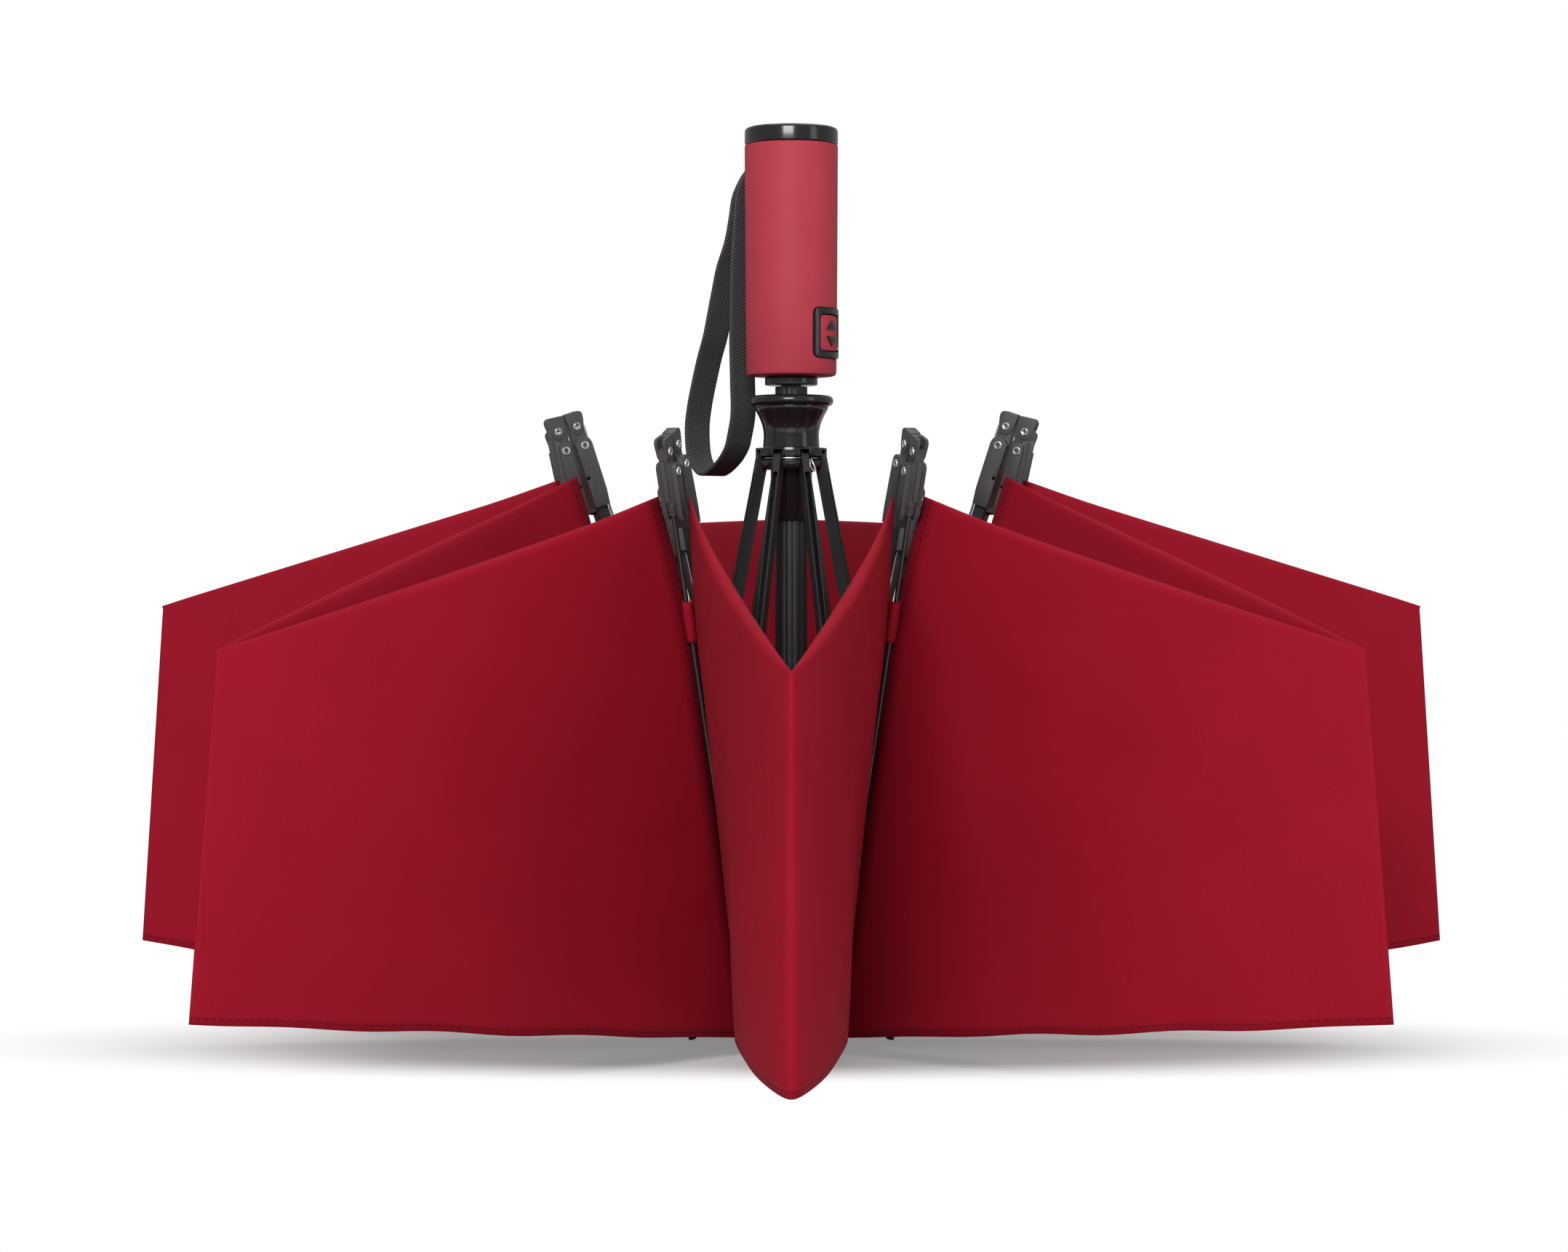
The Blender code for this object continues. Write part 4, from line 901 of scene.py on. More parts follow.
CHEEK_LONG, CHEEK_WIDE, CHEEK_SUNK, CHEEK_PROUD, CHEEK_NEAR = 0.032, 0.0046, 0.0004, 0.0016, 0.0006
CHEEK_SLOPE_IN, CHEEK_SLOPE_UP = 0.001, 0.003
ROD, ROD_TIP, ROD_IN, ROD_EDGE = 0.00095, 0.0007, 0.002, 0.0002
BEAD, BEAD_TOP_SHARE = 0.0016, 0.8
rod_x = HEAD_WIDE / 2 + 2 * GAP
cheek_middle = CHEEK_NEAR + CHEEK_WIDE / 2
glass_fibre = moulded(
    "black_glass_fibre", (0.01, 0.01, 0.011), (0.022, 0.022, 0.023),
    roughness=0.32, spread=0.1, scale=1800, depth=0.00001, coat=0.3,
)


def tilt_of(index):
    return math.radians(TILTS[min(index, RIBS - 1 - index)])


def cheek(side):
    """One side of the fork that straddles the holder, with a round top."""
    thin_from, thin_to = sorted(side * (HOLDER_RADIUS + out) for out in (-CHEEK_SUNK, CHEEK_PROUD))
    right = CHEEK_NEAR + CHEEK_WIDE
    outline = [
        (CHEEK_NEAR, -CHEEK_LONG), (right - CHEEK_SLOPE_IN, -CHEEK_LONG),
        (right, -CHEEK_LONG + CHEEK_SLOPE_UP),
        *arc((cheek_middle, -BAR_DROP - CHEEK_WIDE / 2), CHEEK_WIDE / 2, 0, 180, 6),
    ]
    return plate(outline, thin_from, thin_to)


nose_start, nose_end = -HOLDER_LONG + NOSE_LONG, -HOLDER_LONG
holder_mesh = fitted(
    plate(head_outline(1), -HEAD_THICK / 2, HEAD_THICK / 2),
    [
        (CUT, solid_block((FORK_IN, -FORK_HALF, -FORK_DEEP), (HEAD_WIDE + FORK_IN, FORK_HALF, OVERRUN))),
        (JOIN, solid_block(
            (CHEEK_NEAR, -NECK_THICK / 2, -BAR_DROP - NECK_DOWN),
            (HEAD_WIDE - NECK_IN, NECK_THICK / 2, -HOLDER_NECK_TOP),
        )),
        (JOIN, round_bar(
            (rod_x, 0, -HOLDER_TOP), (rod_x, 0, nose_start),
            HOLDER_RADIUS + HOLDER_SWELL, HOLDER_RADIUS + HOLDER_SLOPE, sides=24,
        )),
        (JOIN, round_bar(
            (rod_x, 0, nose_start + NOSE_OVERLAP), (rod_x, 0, nose_end),
            HOLDER_RADIUS, HOLDER_RADIUS - NOSE_TAPER, sides=24,
        )),
        (JOIN, solid_block((rod_x, -FIN_HALF, -FIN_FOOT), (rod_x + FIN_OUT, FIN_HALF, -FIN_TOP))),
        (JOIN, cheek(1)),
        (JOIN, cheek(-1)),
    ],
    edge=HOLDER_EDGE, segments=3,
)
holder_metal = gathered("holder_metal", [
    *screw_head(HEAD_WIDE / 2, -SCREW_DROP, HEAD_THICK / 2),
    *eyelet(cheek_middle, -EYELET_DROP, HOLDER_RADIUS + CHEEK_PROUD),
])
bead = round_bar(
    (rod_x, 0, -OUTER_LONG + 2 * BEAD), (rod_x, 0, -OUTER_LONG - BEAD), BEAD * BEAD_TOP_SHARE, BEAD,
)
rod_mesh = fitted(
    round_bar((rod_x, 0, nose_end + ROD_IN), (rod_x, 0, -OUTER_LONG + ROD_IN), ROD, ROD_TIP, sides=16),
    [(JOIN, bead)], edge=ROD_EDGE,
)
for index in range(RIBS):
    number = index + 1
    place = on_ray(rib_azimuth(index), *elbow_spot(index), tilt_of(index))
    body = f"outer_rib_body_{number}"
    holder = piece(f"rib_holder_{number}", holder_mesh, grey_plastic, body, place)
    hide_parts(f"outer_rib_{number}")
    piece(f"holder_fixings_{number}", holder_metal, plated_steel, body, place)
    piece(f"glass_fibre_rod_{number}", rod_mesh, glass_fibre, body, place)

# Eight gores of thin crimson pongee are sewn edge to edge along the ribs. Folded, each runs up the inner
# ribs from the crown, turns over in a soft roll, and hangs down the outer ribs as a wing to a stitched hem.
# The front and rear wings hang as rounded tongues.
CLOTH_THICK = 0.0004
CLOTH_FOOT, CLOTH_FOOT_Z = 0.0185, 0.011
PEAK_SHARE, REAR_PEAK_SHARE = 0.908, 0.93  # of the elbow's height
REAR_RIBS = (3, 4)
TONGUES = (0, 4)  # the front and rear gores
SEAM_OFFSET, PEAK_FLARE, FLARE_FROM_SHARE, FLARE_TO_SHARE = 0.0006, 0.0058, 0.55, 0.3
TIP_SHORT, TIP_BEHIND, TIP_UP = 0.0015, 0.0018, 0.0015
# The radius and height of each wing's edge, first at the fold and then at the hem
WINGS = {
    "front": (0.270, 0.158, 0.268, 0.018),
    "corner": (0.280, 0.163, 0.292, 0.0345),
    "side": (0.252, 0.176, 0.2605, 0.0415),
    "rear": (0.215, 0.214, 0.2702, 0.018),
}
WING_ORDER = ("front", "corner", "side", "corner", "rear", "corner", "side", "corner")
COLUMNS, INNER_ROWS, OUTER_ROWS = 18, 13, 24
CROWDING = 1.55  # how much closer the rows and columns lie near the fold and the wing's edge
SEED_STEP, SEED_START = 0.37, 0.21
INNER_SAG, INNER_DRAW = 0.006, 0.003
BULGE_TOP, BULGE_LOW, TONGUE_BULGE_LOW = 0.0042, 0.0048, 0.0088
HEM_CUT = 0.012  # of the front and rear gores, between their ribs and the wing's tip
TONGUE_FULL, TONGUE_POWER, FLARE_POWER = 3.0, 0.65, 1.5
# Long folds that fan down the wing, and how many radians they turn through across it and down it
FAN_DEEP, FAN_ACROSS, FAN_DOWN = 0.0016, 7.5, 2.2
RIPPLE_DEEP, RIPPLES_ACROSS, RIPPLES_DOWN, RIPPLE_LEAST = 0.002, 5, 3, 0.3
# Waves along the hem, sideways and up, and how many of them there are from a rib to the wing's edge
HEM_WAVE, FRONT_HEM_WAVE, SLOW_WAVES, QUICK_WAVES, QUICK_SHARE = 0.0009, 0.0003, 3.2, 6.7, 0.5
HEM_LIFT, HEM_LIFTS, HEM_WAVE_POWER, HEM_LIFT_POWER = 0.0008, 4, 3, 6
ROLL_DROP, ROLL_SHARE, ROLL_FROM_RIB, EDGE_ROUND, EDGE_SHARE = 0.0012, 0.035, 6, 0.0012, 0.05
WEAVE_SCALE, THREAD_DEEP = 9000, 0.00002  # the scale in radians of thread to a metre
STITCH_PITCH, STITCH_GAP, STITCH_SHADE, PUCKER = 0.003, -0.35, 0.6, -0.00012
# How far a line of stitches lies from the edge, and half its width
STITCH_LINES = {"hem_distance": (0.0022, 0.0003), "seam_distance": (0.0035, 0.0004)}
runner_travel = abs(next(j for j in frame["joints"] if j["name"] == "runner_slide")["range_m"][1])


def pongee_weave():
    """A plain weave from a UV map in metres: each thread, slow clouds of shade, and the height."""
    group, given, end = shader_group(
        "pongee_weave", {"Scale": 2600, "Depth": 0.00003}, ("Thread", "Cloud", "Height"),
    )
    uv = add_node(group, "ShaderNodeUVMap", uv_map="cloth_metres").outputs["UV"]
    scaled = add_node(group, "ShaderNodeVectorMath", {0: uv, "Scale": given["Scale"]}, operation="SCALE")
    split = add_node(group, "ShaderNodeSeparateXYZ", {0: scaled.outputs["Vector"]}).outputs
    waves = mathed(group, "MULTIPLY", mathed(group, "SINE", split["X"]), mathed(group, "SINE", split["Y"]))
    thread = mathed(group, "MULTIPLY_ADD", waves, 0.5, 0.5)
    cloud = add_node(group, "ShaderNodeTexNoise", {"Vector": uv, "Scale": 26, "Detail": 5})
    plug(group, end, {
        "Thread": thread,
        "Cloud": cloud.outputs["Fac"],
        "Height": mathed(group, "MULTIPLY", thread, given["Depth"]),
    })
    return group


def crimson_pongee():
    """Crimson cloth, darker and drawn in along its stitches beside the hem and the seams."""
    material, tree, shader = new_material("crimson_pongee")
    inputs = {"Scale": WEAVE_SCALE, "Depth": THREAD_DEEP}
    weave = add_node(tree, "ShaderNodeGroup", inputs, node_tree=pongee_weave()).outputs
    clouds = mathed(tree, "MULTIPLY", weave["Cloud"], 0.55)
    shade = mathed(tree, "MULTIPLY_ADD", weave["Thread"], 0.45, clouds)
    cloth = blended(tree, shade, (0.25, 0.004, 0.015, 1), (0.34, 0.0085, 0.024, 1))
    uv = add_node(tree, "ShaderNodeUVMap", uv_map="cloth_metres").outputs["UV"]
    split = add_node(tree, "ShaderNodeSeparateXYZ", {0: uv}).outputs
    lines, dashes = [], []
    for axis, (attribute, (centre, half)) in zip(("X", "Y"), STITCH_LINES.items()):
        edge = add_node(tree, "ShaderNodeAttribute", attribute_name=attribute).outputs["Fac"]
        away = mathed(tree, "ABSOLUTE", mathed(tree, "SUBTRACT", edge, centre))
        lines.append(mathed(tree, "LESS_THAN", away, half))
        sewn = mathed(tree, "GREATER_THAN", wave(tree, split[axis], STITCH_PITCH), STITCH_GAP)
        dashes.append(mathed(tree, "MULTIPLY", sewn, lines[-1]))
    stitch = mathed(tree, "MULTIPLY", mathed(tree, "MAXIMUM", *dashes), STITCH_SHADE)
    pucker = mathed(tree, "MULTIPLY", mathed(tree, "MAXIMUM", *lines), PUCKER)
    puffs = add_node(tree, "ShaderNodeTexNoise", {"Vector": uv, "Scale": 300}).outputs["Fac"]
    puckered = mathed(tree, "MULTIPLY_ADD", puffs, 0.00006, pucker)
    plug(tree, shader, {
        "Base Color": blended(tree, stitch, cloth, (0.12, 0.002, 0.008, 1)),
        "Roughness": ranged(tree, weave["Cloud"], 0.62, 0.8),
        "Normal": bumped(tree, mathed(tree, "ADD", weave["Height"], puckered), strength=0.8),
        "Sheen Weight": 0.015, "Sheen Roughness": 0.5, "Sheen Tint": (1.0, 0.4, 0.45, 1),
        "Specular IOR Level": 0.07,
    })
    return material


def in_gore(side, radius, height, offset):
    """A point beside a rib in the gore's own frame: X out along its middle, Y across."""
    half = math.pi / RIBS
    return Vector((
        radius * math.cos(half) + offset * math.sin(half),
        side * (radius * math.sin(half) - offset * math.cos(half)),
        height,
    ))


def gore_controls(index):
    """The points of a gore that ride on the crown, the ribs, the outer ribs and the gore's own body."""
    fold_r, fold_z, hem_r, hem_z = WINGS[WING_ORDER[index]]
    points = {
        "foot": (Vector((CLOTH_FOOT, 0, CLOTH_FOOT_Z)), "crown"),
        "fold": (Vector((fold_r, 0, fold_z)), f"gore_body_{index + 1}"),
        "hem": (Vector((hem_r, 0, hem_z)), f"gore_body_{index + 1}"),
    }
    for side, word, rib in ((-1, "left", (index - 1) % RIBS), (1, "right", index)):
        radius, height = elbow_spot(rib)
        drop = height * (1 - (REAR_PEAK_SHARE if rib in REAR_RIBS else PEAK_SHARE))
        tilt = tilt_of(rib)
        out, run = rod_x - TIP_BEHIND, OUTER_LONG - TIP_SHORT
        tip_r = radius + out * math.cos(tilt) - run * math.sin(tilt)
        tip_z = height - out * math.sin(tilt) - run * math.cos(tilt) + TIP_UP
        peak_r = radius - drop * math.tan(splay_of(rib)) + rod_x
        for spot, r, z, body in (
            ("foot_", CLOTH_FOOT, CLOTH_FOOT_Z, "crown"),
            ("peak_", peak_r, height - drop, f"rib_{rib + 1}"),
            ("tip_", tip_r, tip_z, f"outer_rib_body_{rib + 1}"),
        ):
            points[spot + word] = (in_gore(side, r, z, SEAM_OFFSET), body)
    return points


def gore_weights(inner, share, column):
    """How much a point of the cloth follows each control point, its side of the gore, and how far it
    lies from the rib towards the wing's edge."""
    side, word = (-1, "left") if column < 0 else (1, "right")
    across = 1 - (abs(column) / COLUMNS) ** CROWDING
    spots = (("foot_", "foot"), ("peak_", "fold")) if inner else (("peak_", "fold"), ("tip_", "hem"))
    weights = {}
    for (beside, middle), part in zip(spots, (1 - share, share)):
        weights[beside + word] = part * (1 - across)
        weights[middle] = part * across
    return weights, side, across


def gore_drape(index, inner, share, side, across, seed):
    """How far the hanging cloth stands off the straight sheet between its control points."""
    offset = Vector((0, 0, 0))
    swell = math.sin(math.pi * min(1.0, across))
    if inner:
        flare = PEAK_FLARE * max(0.0, (share - FLARE_FROM_SHARE) / (1 - FLARE_FROM_SHARE)) ** FLARE_POWER
        offset.z -= INNER_SAG * swell * math.sin(math.pi * share)
        offset.y -= side * INNER_DRAW * swell * share * (1 - share) * 4
    else:
        flare = PEAK_FLARE * max(0.0, 1 - share / FLARE_TO_SHARE) ** FLARE_POWER
        if index in TONGUES:
            tongue = TONGUE_FULL * across * (1 - across) ** TONGUE_POWER
            offset.y += side * tongue * (BULGE_TOP + TONGUE_BULGE_LOW * math.sin(math.pi / 2 * share))
            offset.z += HEM_CUT * swell * share**3
        else:
            offset.y += side * swell * (BULGE_TOP + BULGE_LOW * math.sin(math.pi / 2 * share))
        fan = math.sin(across * FAN_ACROSS + share * FAN_DOWN + seed) * math.sin(math.pi * across) * share
        ripple = noise.noise(Vector((across * RIPPLES_ACROSS + seed * 3, share * RIPPLES_DOWN, seed)))
        offset.y += side * (FAN_DEEP * fan + RIPPLE_DEEP * ripple * swell * (RIPPLE_LEAST + share))
        slow = math.sin(2 * math.pi * (across * SLOW_WAVES + seed))
        quick = math.sin(2 * math.pi * (across * QUICK_WAVES + 2 * seed))
        hem_wave = (HEM_WAVE if index else FRONT_HEM_WAVE) * (slow + QUICK_SHARE * quick)
        offset.y += side * hem_wave * share**HEM_WAVE_POWER * swell
        lift = HEM_LIFT * math.sin(2 * math.pi * (across * HEM_LIFTS + seed))
        offset.z += lift * share**HEM_LIFT_POWER * swell
        # The wing's edge is rounded
        offset.x -= EDGE_ROUND * math.exp(-(((1 - across) / EDGE_SHARE) ** 2))
    near_rib = (1 - across) ** 3
    offset.x += flare * math.sin(math.pi / RIBS) * near_rib
    offset.y -= side * flare * math.cos(math.pi / RIBS) * near_rib
    # The fold is a soft roll, not a crease
    away = (1 - share) if inner else share
    offset.z -= ROLL_DROP * math.exp(-((away / ROLL_SHARE) ** 2)) * min(1.0, across * ROLL_FROM_RIB)
    return offset


def gore_rig(index, points):
    """Geometry nodes that hold the cloth to its ribs: each vertex goes with its control points, and
    the drape is drawn flat as the runner opens the umbrella."""
    group = bpy.data.node_groups.new(f"sewn_to_ribs_{index + 1}", "GeometryNodeTree")
    group.interface.new_socket("Geometry", in_out="INPUT", socket_type="NodeSocketGeometry")
    group.interface.new_socket("Geometry", in_out="OUTPUT", socket_type="NodeSocketGeometry")
    cloth, end = group.nodes.new("NodeGroupInput"), group.nodes.new("NodeGroupOutput")
    bodies = {}
    for body in ["runner", "crown", *(body for _, body in points.values())]:
        if body not in bodies:
            inputs = {"Object": frame["bodies"][body]}
            info = add_node(group, "GeometryNodeObjectInfo", inputs, transform_space="RELATIVE")
            bodies[body] = info.outputs

    def kept(name, kind):
        """A value that the mesh keeps for each vertex."""
        named = add_node(group, "GeometryNodeInputNamedAttribute", {"Name": name}, data_type=kind)
        return named.outputs["Attribute"]

    def vector(operation, first, inputs):
        return add_node(group, "ShaderNodeVectorMath", {0: first, **inputs}, operation=operation)

    # How far the runner has gone down, from its body's distance to the crown's
    ends = {1: bodies["crown"]["Location"]}
    reach = vector("DISTANCE", bodies["runner"]["Location"], ends).outputs["Value"]
    span = {"Value": reach, "From Max": runner_travel, "To Min": 1.0, "To Max": 0.0}
    slack = add_node(group, "ShaderNodeMapRange", span).outputs["Result"]
    total = vector("SCALE", kept("drape", "FLOAT_VECTOR"), {"Scale": slack}).outputs[0]
    for name, (point, body) in points.items():
        inputs = {"Vector": point, "Transform": bodies[body]["Transform"]}
        moved = add_node(group, "FunctionNodeTransformPoint", inputs).outputs[0]
        weighed = vector("SCALE", moved, {"Scale": kept("w_" + name, "FLOAT")}).outputs[0]
        total = vector("ADD", total, {1: weighed}).outputs[0]
    hung = add_node(group, "GeometryNodeSetPosition", {"Geometry": cloth.outputs[0], "Position": total})
    plug(group, end, {0: hung.outputs[0]})
    return group


def hang_gore(index):
    """A gore's mesh on its ribs, its control points, its area, its hem's width and its length."""
    turn = Matrix.Rotation(rib_azimuth(index) - math.pi / RIBS, 4, "Z")
    controls = {name: (turn @ point, body) for name, (point, body) in gore_controls(index).items()}
    seed = SEED_STEP * index + SEED_START
    rows, weighed, drapes = [], [], []
    for row in range(INNER_ROWS + OUTER_ROWS + 1):
        inner = row <= INNER_ROWS
        if inner:
            share = 1 - (1 - row / INNER_ROWS) ** CROWDING
        else:
            share = ((row - INNER_ROWS) / OUTER_ROWS) ** CROWDING
        rows.append([])
        for column in range(-COLUMNS, COLUMNS + 1):
            weights, side, across = gore_weights(inner, share, column)
            straight = Vector((0, 0, 0))
            for name, weight in weights.items():
                straight += controls[name][0] * weight
            drape = turn.to_3x3() @ gore_drape(index, inner, share, side, across, seed)
            rows[-1].append(straight + drape)
            weighed.append(weights)
            drapes.extend(drape)
    across_metres = [lengths(row) for row in rows]
    down_metres = list(zip(*(lengths(column) for column in zip(*rows))))
    metres = [
        [(across - line[COLUMNS], down) for across, down in zip(line, downs)]
        for line, downs in zip(across_metres, down_metres)
    ]
    mesh = woven(f"canopy_gore_{index + 1}", rows, metres)
    kept = {"w_" + name: [weights.get(name, 0.0) for weights in weighed] for name in controls}
    hem = down_metres[-1]
    kept["hem_distance"] = [last - down for downs in down_metres for last, down in zip(hem, downs)]
    kept["seam_distance"] = [min(across, line[-1] - across) for line in across_metres for across in line]
    for name, values in kept.items():
        mesh.attributes.new(name, "FLOAT", "POINT").data.foreach_set("value", values)
    mesh.attributes.new("drape", "FLOAT_VECTOR", "POINT").data.foreach_set("vector", drapes)
    area = sum(polygon.area for polygon in mesh.polygons)
    return mesh, controls, area, across_metres[-1][-1], down_metres[-1][COLUMNS]


crimson = crimson_pongee()
for index in range(RIBS):
    number = index + 1
    mesh, controls, area, hem_width, long = hang_gore(index)
    gore = piece(f"canopy_gore_{number}", mesh, crimson, f"gore_body_{number}")
    rig = gore.modifiers.new("sewn_to_ribs", "NODES")
    rig.node_group = gore_rig(index, controls)
    smooth = gore.modifiers.new("soft", "SUBSURF")
    smooth.levels = smooth.render_levels = 1
    smooth.boundary_smooth = "PRESERVE_CORNERS"
    thicken(gore, CLOTH_THICK)
    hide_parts(f"gore_{number}")

# Each gore seam is tied to its outer rib by a small folded patch of the same cloth, stitched through.
# The patch goes round the rod, and its two ends lie open behind it.
TIE_DROP, TIE_LONG, TIE_RADIUS, TIE_THICK = 0.064, 0.016, 0.0016, 0.0006
TIE_ROWS, TIE_SWELL_SHARE, TIE_BEHIND_SHARE, TIE_OPEN_SHARE = 8, 0.12, 1.6, 1.9
NO_STITCH = 1.0  # a distance from the edge with no stitches there

tie_rows = []
for step in range(TIE_ROWS + 1):
    z = -TIE_DROP - TIE_LONG * step / TIE_ROWS
    swell = 1 + TIE_SWELL_SHARE * math.sin(math.pi * step / TIE_ROWS)
    behind, open_half = rod_x - TIE_RADIUS * TIE_BEHIND_SHARE, TIE_RADIUS * TIE_OPEN_SHARE
    wrapped = arc((rod_x, 0), TIE_RADIUS * swell, -150, 150, 16)
    around = [(behind, -open_half), *wrapped, (behind, open_half)]
    tie_rows.append([(x, y, z) for x, y in around])
tie_mesh = woven("rib_tie", tie_rows, [[(y, z) for _, y, z in row] for row in tie_rows])
for name in STITCH_LINES:
    values = [NO_STITCH] * len(tie_mesh.vertices)
    tie_mesh.attributes.new(name, "FLOAT", "POINT").data.foreach_set("value", values)
for index in range(RIBS):
    number = index + 1
    place = on_ray(rib_azimuth(index), *elbow_spot(index), tilt_of(index))
    tie = piece(f"rib_tie_{number}", tie_mesh, crimson, f"outer_rib_body_{number}", place)
    thicken(tie, TIE_THICK)

# The grip is a moulded core with a soft-touch rose-red coating, closed by a glossy black end cap.
# A black collar under it guides the innermost tube.
GRIP_FOOT, GRIP_HIGH = 0.2662, 0.092
GRIP_FOOT_R, GRIP_TOP_R = 0.018, 0.0186
GRIP_TOP_EDGE, GRIP_FOOT_EDGE, GRIP_FOOT_ROUND = 0.0004, 0.0004, 0.0014
SWELL_HIGH, SWELL_OUT = 0.03, 0.0003
END_CAP_HIGH, END_CAP_ROUND, END_CAP_EDGE = 0.0065, 0.0016, 0.0003
COLLAR_RADIUS, COLLAR_HIGH = 0.0105, 0.0034
BUTTON_AZIMUTH, BUTTON_ARC = math.radians(-31), math.radians(30)
BUTTON_HIGH, BUTTON_Z, BUTTON_RIM = 0.0197, 0.2828, 0.0024
FRAME_DEPTH, FRAME_PROUD, FRAME_EDGE = 0.0022, 0.0009, 0.0004
PAD_DEPTH, PAD_PROUD, PAD_TRAVEL, PAD_PLAY = 0.0029, 0.0005, 0.001, 0.0005
WELL_OUT = 0.023  # where the button's cuts end, outside the grip
CORNER_SHARE, PAD_COLUMNS = 0.28, 8
soft_touch = moulded(
    "rose_soft_touch", (0.4, 0.034, 0.055), (0.47, 0.048, 0.074),
    roughness=0.55, spread=0.08, scale=2200, depth=0.000012, specular=0.2,
)


def curved_pad(inner, outer, half_width, half_height):
    """A pad with round corners on the +X side, both faces curved about Z between two radii."""
    corner = min(half_width, half_height) * CORNER_SHARE
    right, top = half_width - corner, half_height - corner
    outline = []
    for side, start in ((1, 0), (-1, 180)):
        first = arc((side * right, side * top), corner, start, start + 90, 6)
        second = arc((-side * right, side * top), corner, start + 90, start + 180, 6)
        # Extra points along the top and the foot keep the faces on their curve
        (from_x, level), to_x = first[-1], second[0][0]
        steps = [(from_x + (to_x - from_x) * i / PAD_COLUMNS, level) for i in range(1, PAD_COLUMNS)]
        outline += [*first, *steps, *second]
    maker = bmesh.new()
    rings = []
    for radius in (inner, outer):
        ring = []
        for across, up in outline:
            turn = math.asin(max(-1.0, min(1.0, across / GRIP_FOOT_R)))
            ring.append(maker.verts.new((radius * math.cos(turn), radius * math.sin(turn), up)))
        rings.append(ring)
    band(maker, *rings)
    half = len(outline) // 2
    for ring in reversed(rings):
        high, low = ring[:half], list(reversed(ring[half:]))
        for i in range(half - 1):
            maker.faces.new((high[i], high[i + 1], low[i + 1], low[i]))
    bmesh.ops.recalc_face_normals(maker, faces=maker.faces)
    return finished(maker, "pad")


grip_top = GRIP_FOOT + GRIP_HIGH
bore = TUBE_RADIUS - 2 * TUBE_WALL - 2 * TUBE_CLEARANCE + GAP
half_width, half_height = GRIP_FOOT_R * math.sin(BUTTON_ARC), BUTTON_HIGH / 2
opening_width, opening_height = half_width - BUTTON_RIM, half_height - BUTTON_RIM
button_place = Matrix.Rotation(BUTTON_AZIMUTH, 4, "Z") @ Matrix.Translation((0, 0, BUTTON_Z))
pocket_top = GRIP_FOOT + SWELL_HIGH + GAP
grip_profile = [
    (0, grip_top), (GRIP_TOP_R - GRIP_TOP_EDGE, grip_top), (GRIP_TOP_R, grip_top - GRIP_TOP_EDGE),
    (GRIP_FOOT_R + SWELL_OUT, GRIP_FOOT + SWELL_HIGH), (GRIP_FOOT_R, GRIP_FOOT + GRIP_FOOT_ROUND),
    (GRIP_FOOT_R - GRIP_FOOT_EDGE, GRIP_FOOT + GRIP_FOOT_EDGE),
    (GRIP_FOOT_R - GRIP_FOOT_ROUND, GRIP_FOOT), (bore, GRIP_FOOT), (bore, pocket_top), (0, pocket_top),
]
frame_back = GRIP_FOOT_R - FRAME_DEPTH
pad_back = GRIP_FOOT_R - PAD_DEPTH - PAD_TRAVEL
grip_mesh = fitted(
    turned("grip_blank", grip_profile),
    [
        (CUT, curved_pad(frame_back - GAP, WELL_OUT, half_width + GAP, half_height + GAP), button_place),
        (CUT, curved_pad(pad_back - GAP, WELL_OUT, opening_width, opening_height), button_place),
    ],
    sharp=40,
)
grip = piece("soft_touch_grip", grip_mesh, soft_touch, "handle")
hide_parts("grip")

cap_foot = grip_top + GAP
cap_top = cap_foot + END_CAP_HIGH
end_cap_profile = [
    (0, cap_top),
    *arc((GRIP_TOP_R - END_CAP_ROUND, cap_top - END_CAP_ROUND), END_CAP_ROUND, 90, 0, 6),
    (GRIP_TOP_R, cap_foot + END_CAP_EDGE), (GRIP_TOP_R - END_CAP_EDGE, cap_foot), (0, cap_foot),
]
end_cap = piece("glossy_end_cap", turned("glossy_end_cap", end_cap_profile), gloss_black, "handle")
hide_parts("end_cap")

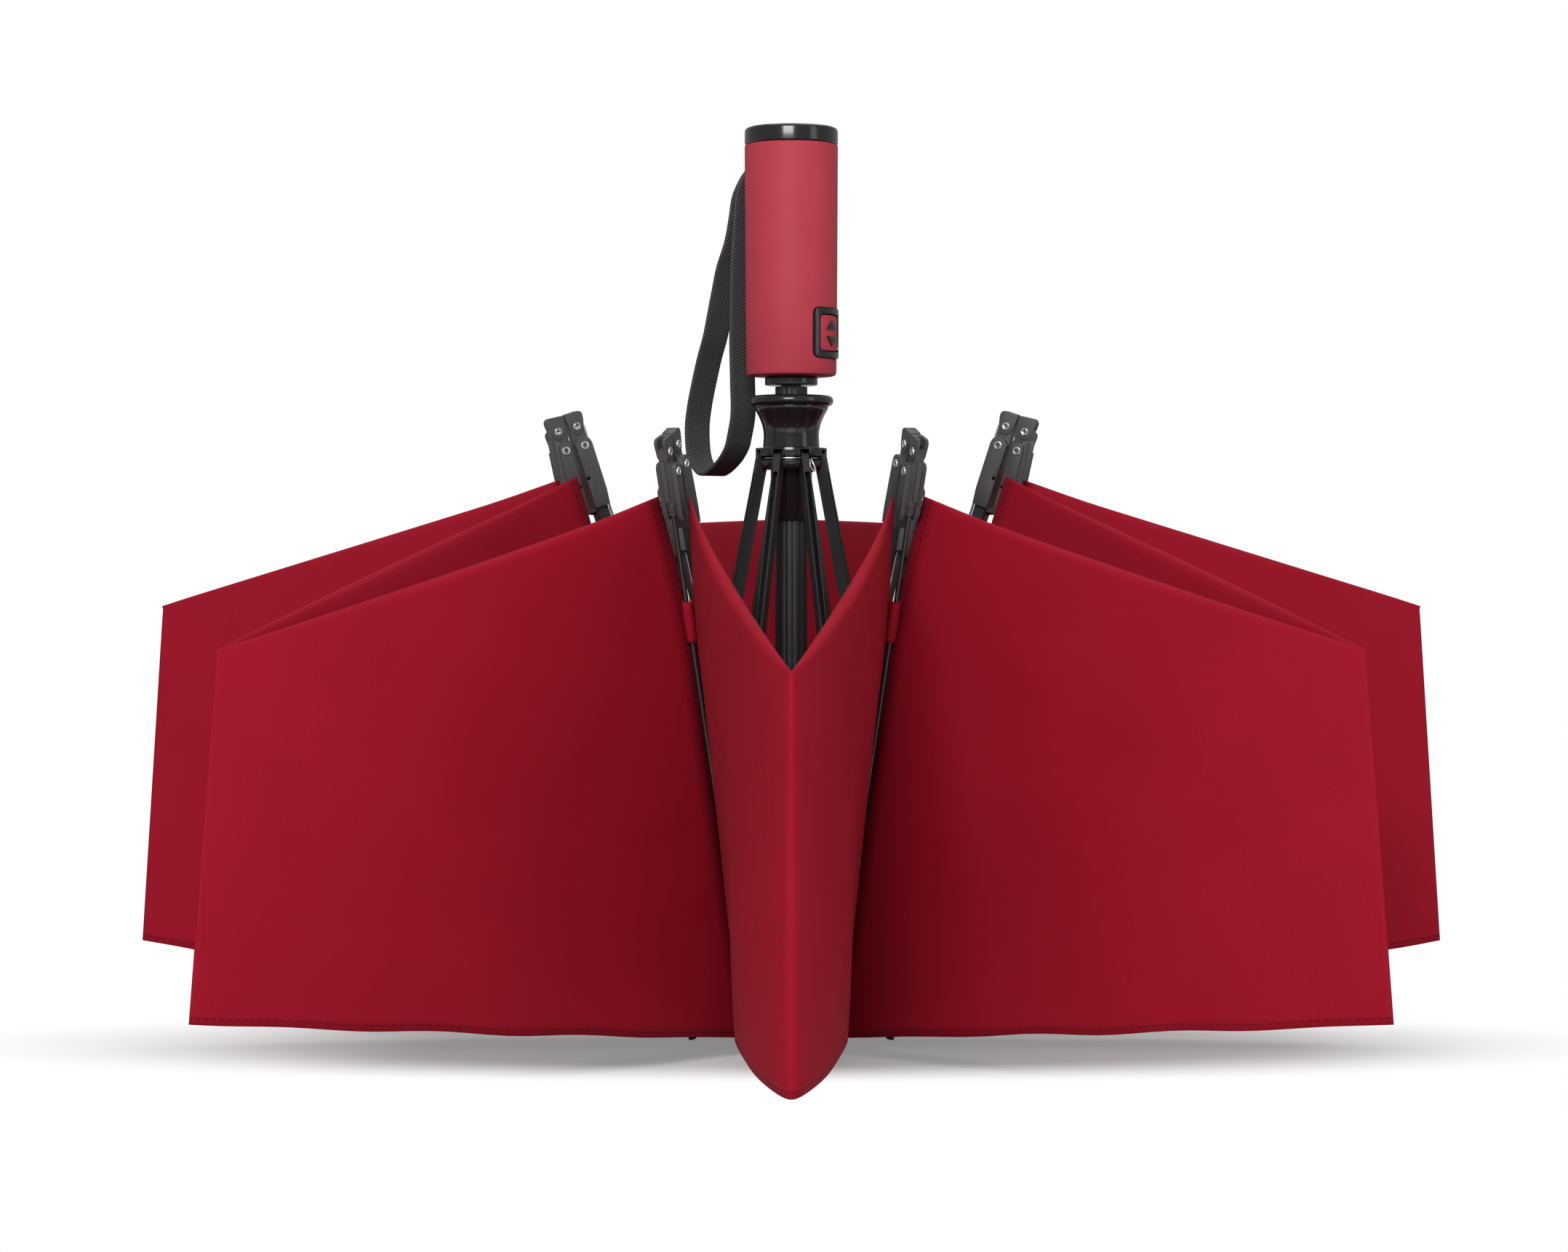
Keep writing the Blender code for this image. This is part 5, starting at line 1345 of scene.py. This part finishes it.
collar_top, collar_foot = GRIP_FOOT - GAP, GRIP_FOOT - GAP - COLLAR_HIGH
collar_profile = [
    (bore, collar_top), (COLLAR_RADIUS, collar_top), (COLLAR_RADIUS, collar_foot), (bore, collar_foot),
]
collar_mesh = turned("guide_collar", collar_profile, edge=SOFT_EDGE)
collar = piece("guide_collar", collar_mesh, gloss_black, "handle")
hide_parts("collar")

# A rose-red pad in a glossy black frame opens and closes the umbrella.
# Two raised black triangles on it point up and down.
ARROW_WIDE, ARROW_HIGH, ARROW_APART = 0.0074, 0.0044, 0.0068
ARROW_PROUD, ARROW_SUNK, ARROW_EDGE, ARROW_TOP_SHARE = 0.0005, 0.0011, 0.0003, 0.92
OPENING_IN = 0.01  # where the cut through the frame starts, inside the grip

frame_mesh = fitted(
    curved_pad(frame_back, GRIP_FOOT_R + FRAME_PROUD, half_width, half_height),
    [(CUT, curved_pad(OPENING_IN, WELL_OUT, opening_width, opening_height))],
    edge=FRAME_EDGE, segments=3,
)
button_frame = piece("glossy_button_frame", frame_mesh, gloss_black, "handle", button_place)
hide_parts("button_frame")

face = GRIP_FOOT_R + PAD_PROUD
pad_blank = curved_pad(face - PAD_DEPTH, face, opening_width - PAD_PLAY, opening_height - PAD_PLAY)
pad_mesh = fitted(pad_blank, [], edge=SOFT_EDGE, segments=3)
pad = piece("button_pad", pad_mesh, soft_touch, "button", button_place)
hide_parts("button")

for side, word in ((1, "open"), (-1, "close")):
    middle, point = ARROW_APART / 2 * side, ARROW_HIGH / 2 * side
    outline = [(-ARROW_WIDE / 2, -point), (ARROW_WIDE / 2, -point), (0, point)]
    arrow_blank = lofted(f"arrow_{word}", [
        [(x, across * share, middle + up * share) for across, up in outline]
        for x, share in ((face - ARROW_SUNK, 1.0), (face + ARROW_PROUD, ARROW_TOP_SHARE))
    ])
    arrow_mesh = fitted(arrow_blank, [], edge=ARROW_EDGE, segments=3)
    arrow = piece(f"arrow_{word}", arrow_mesh, gloss_black, "button", button_place)
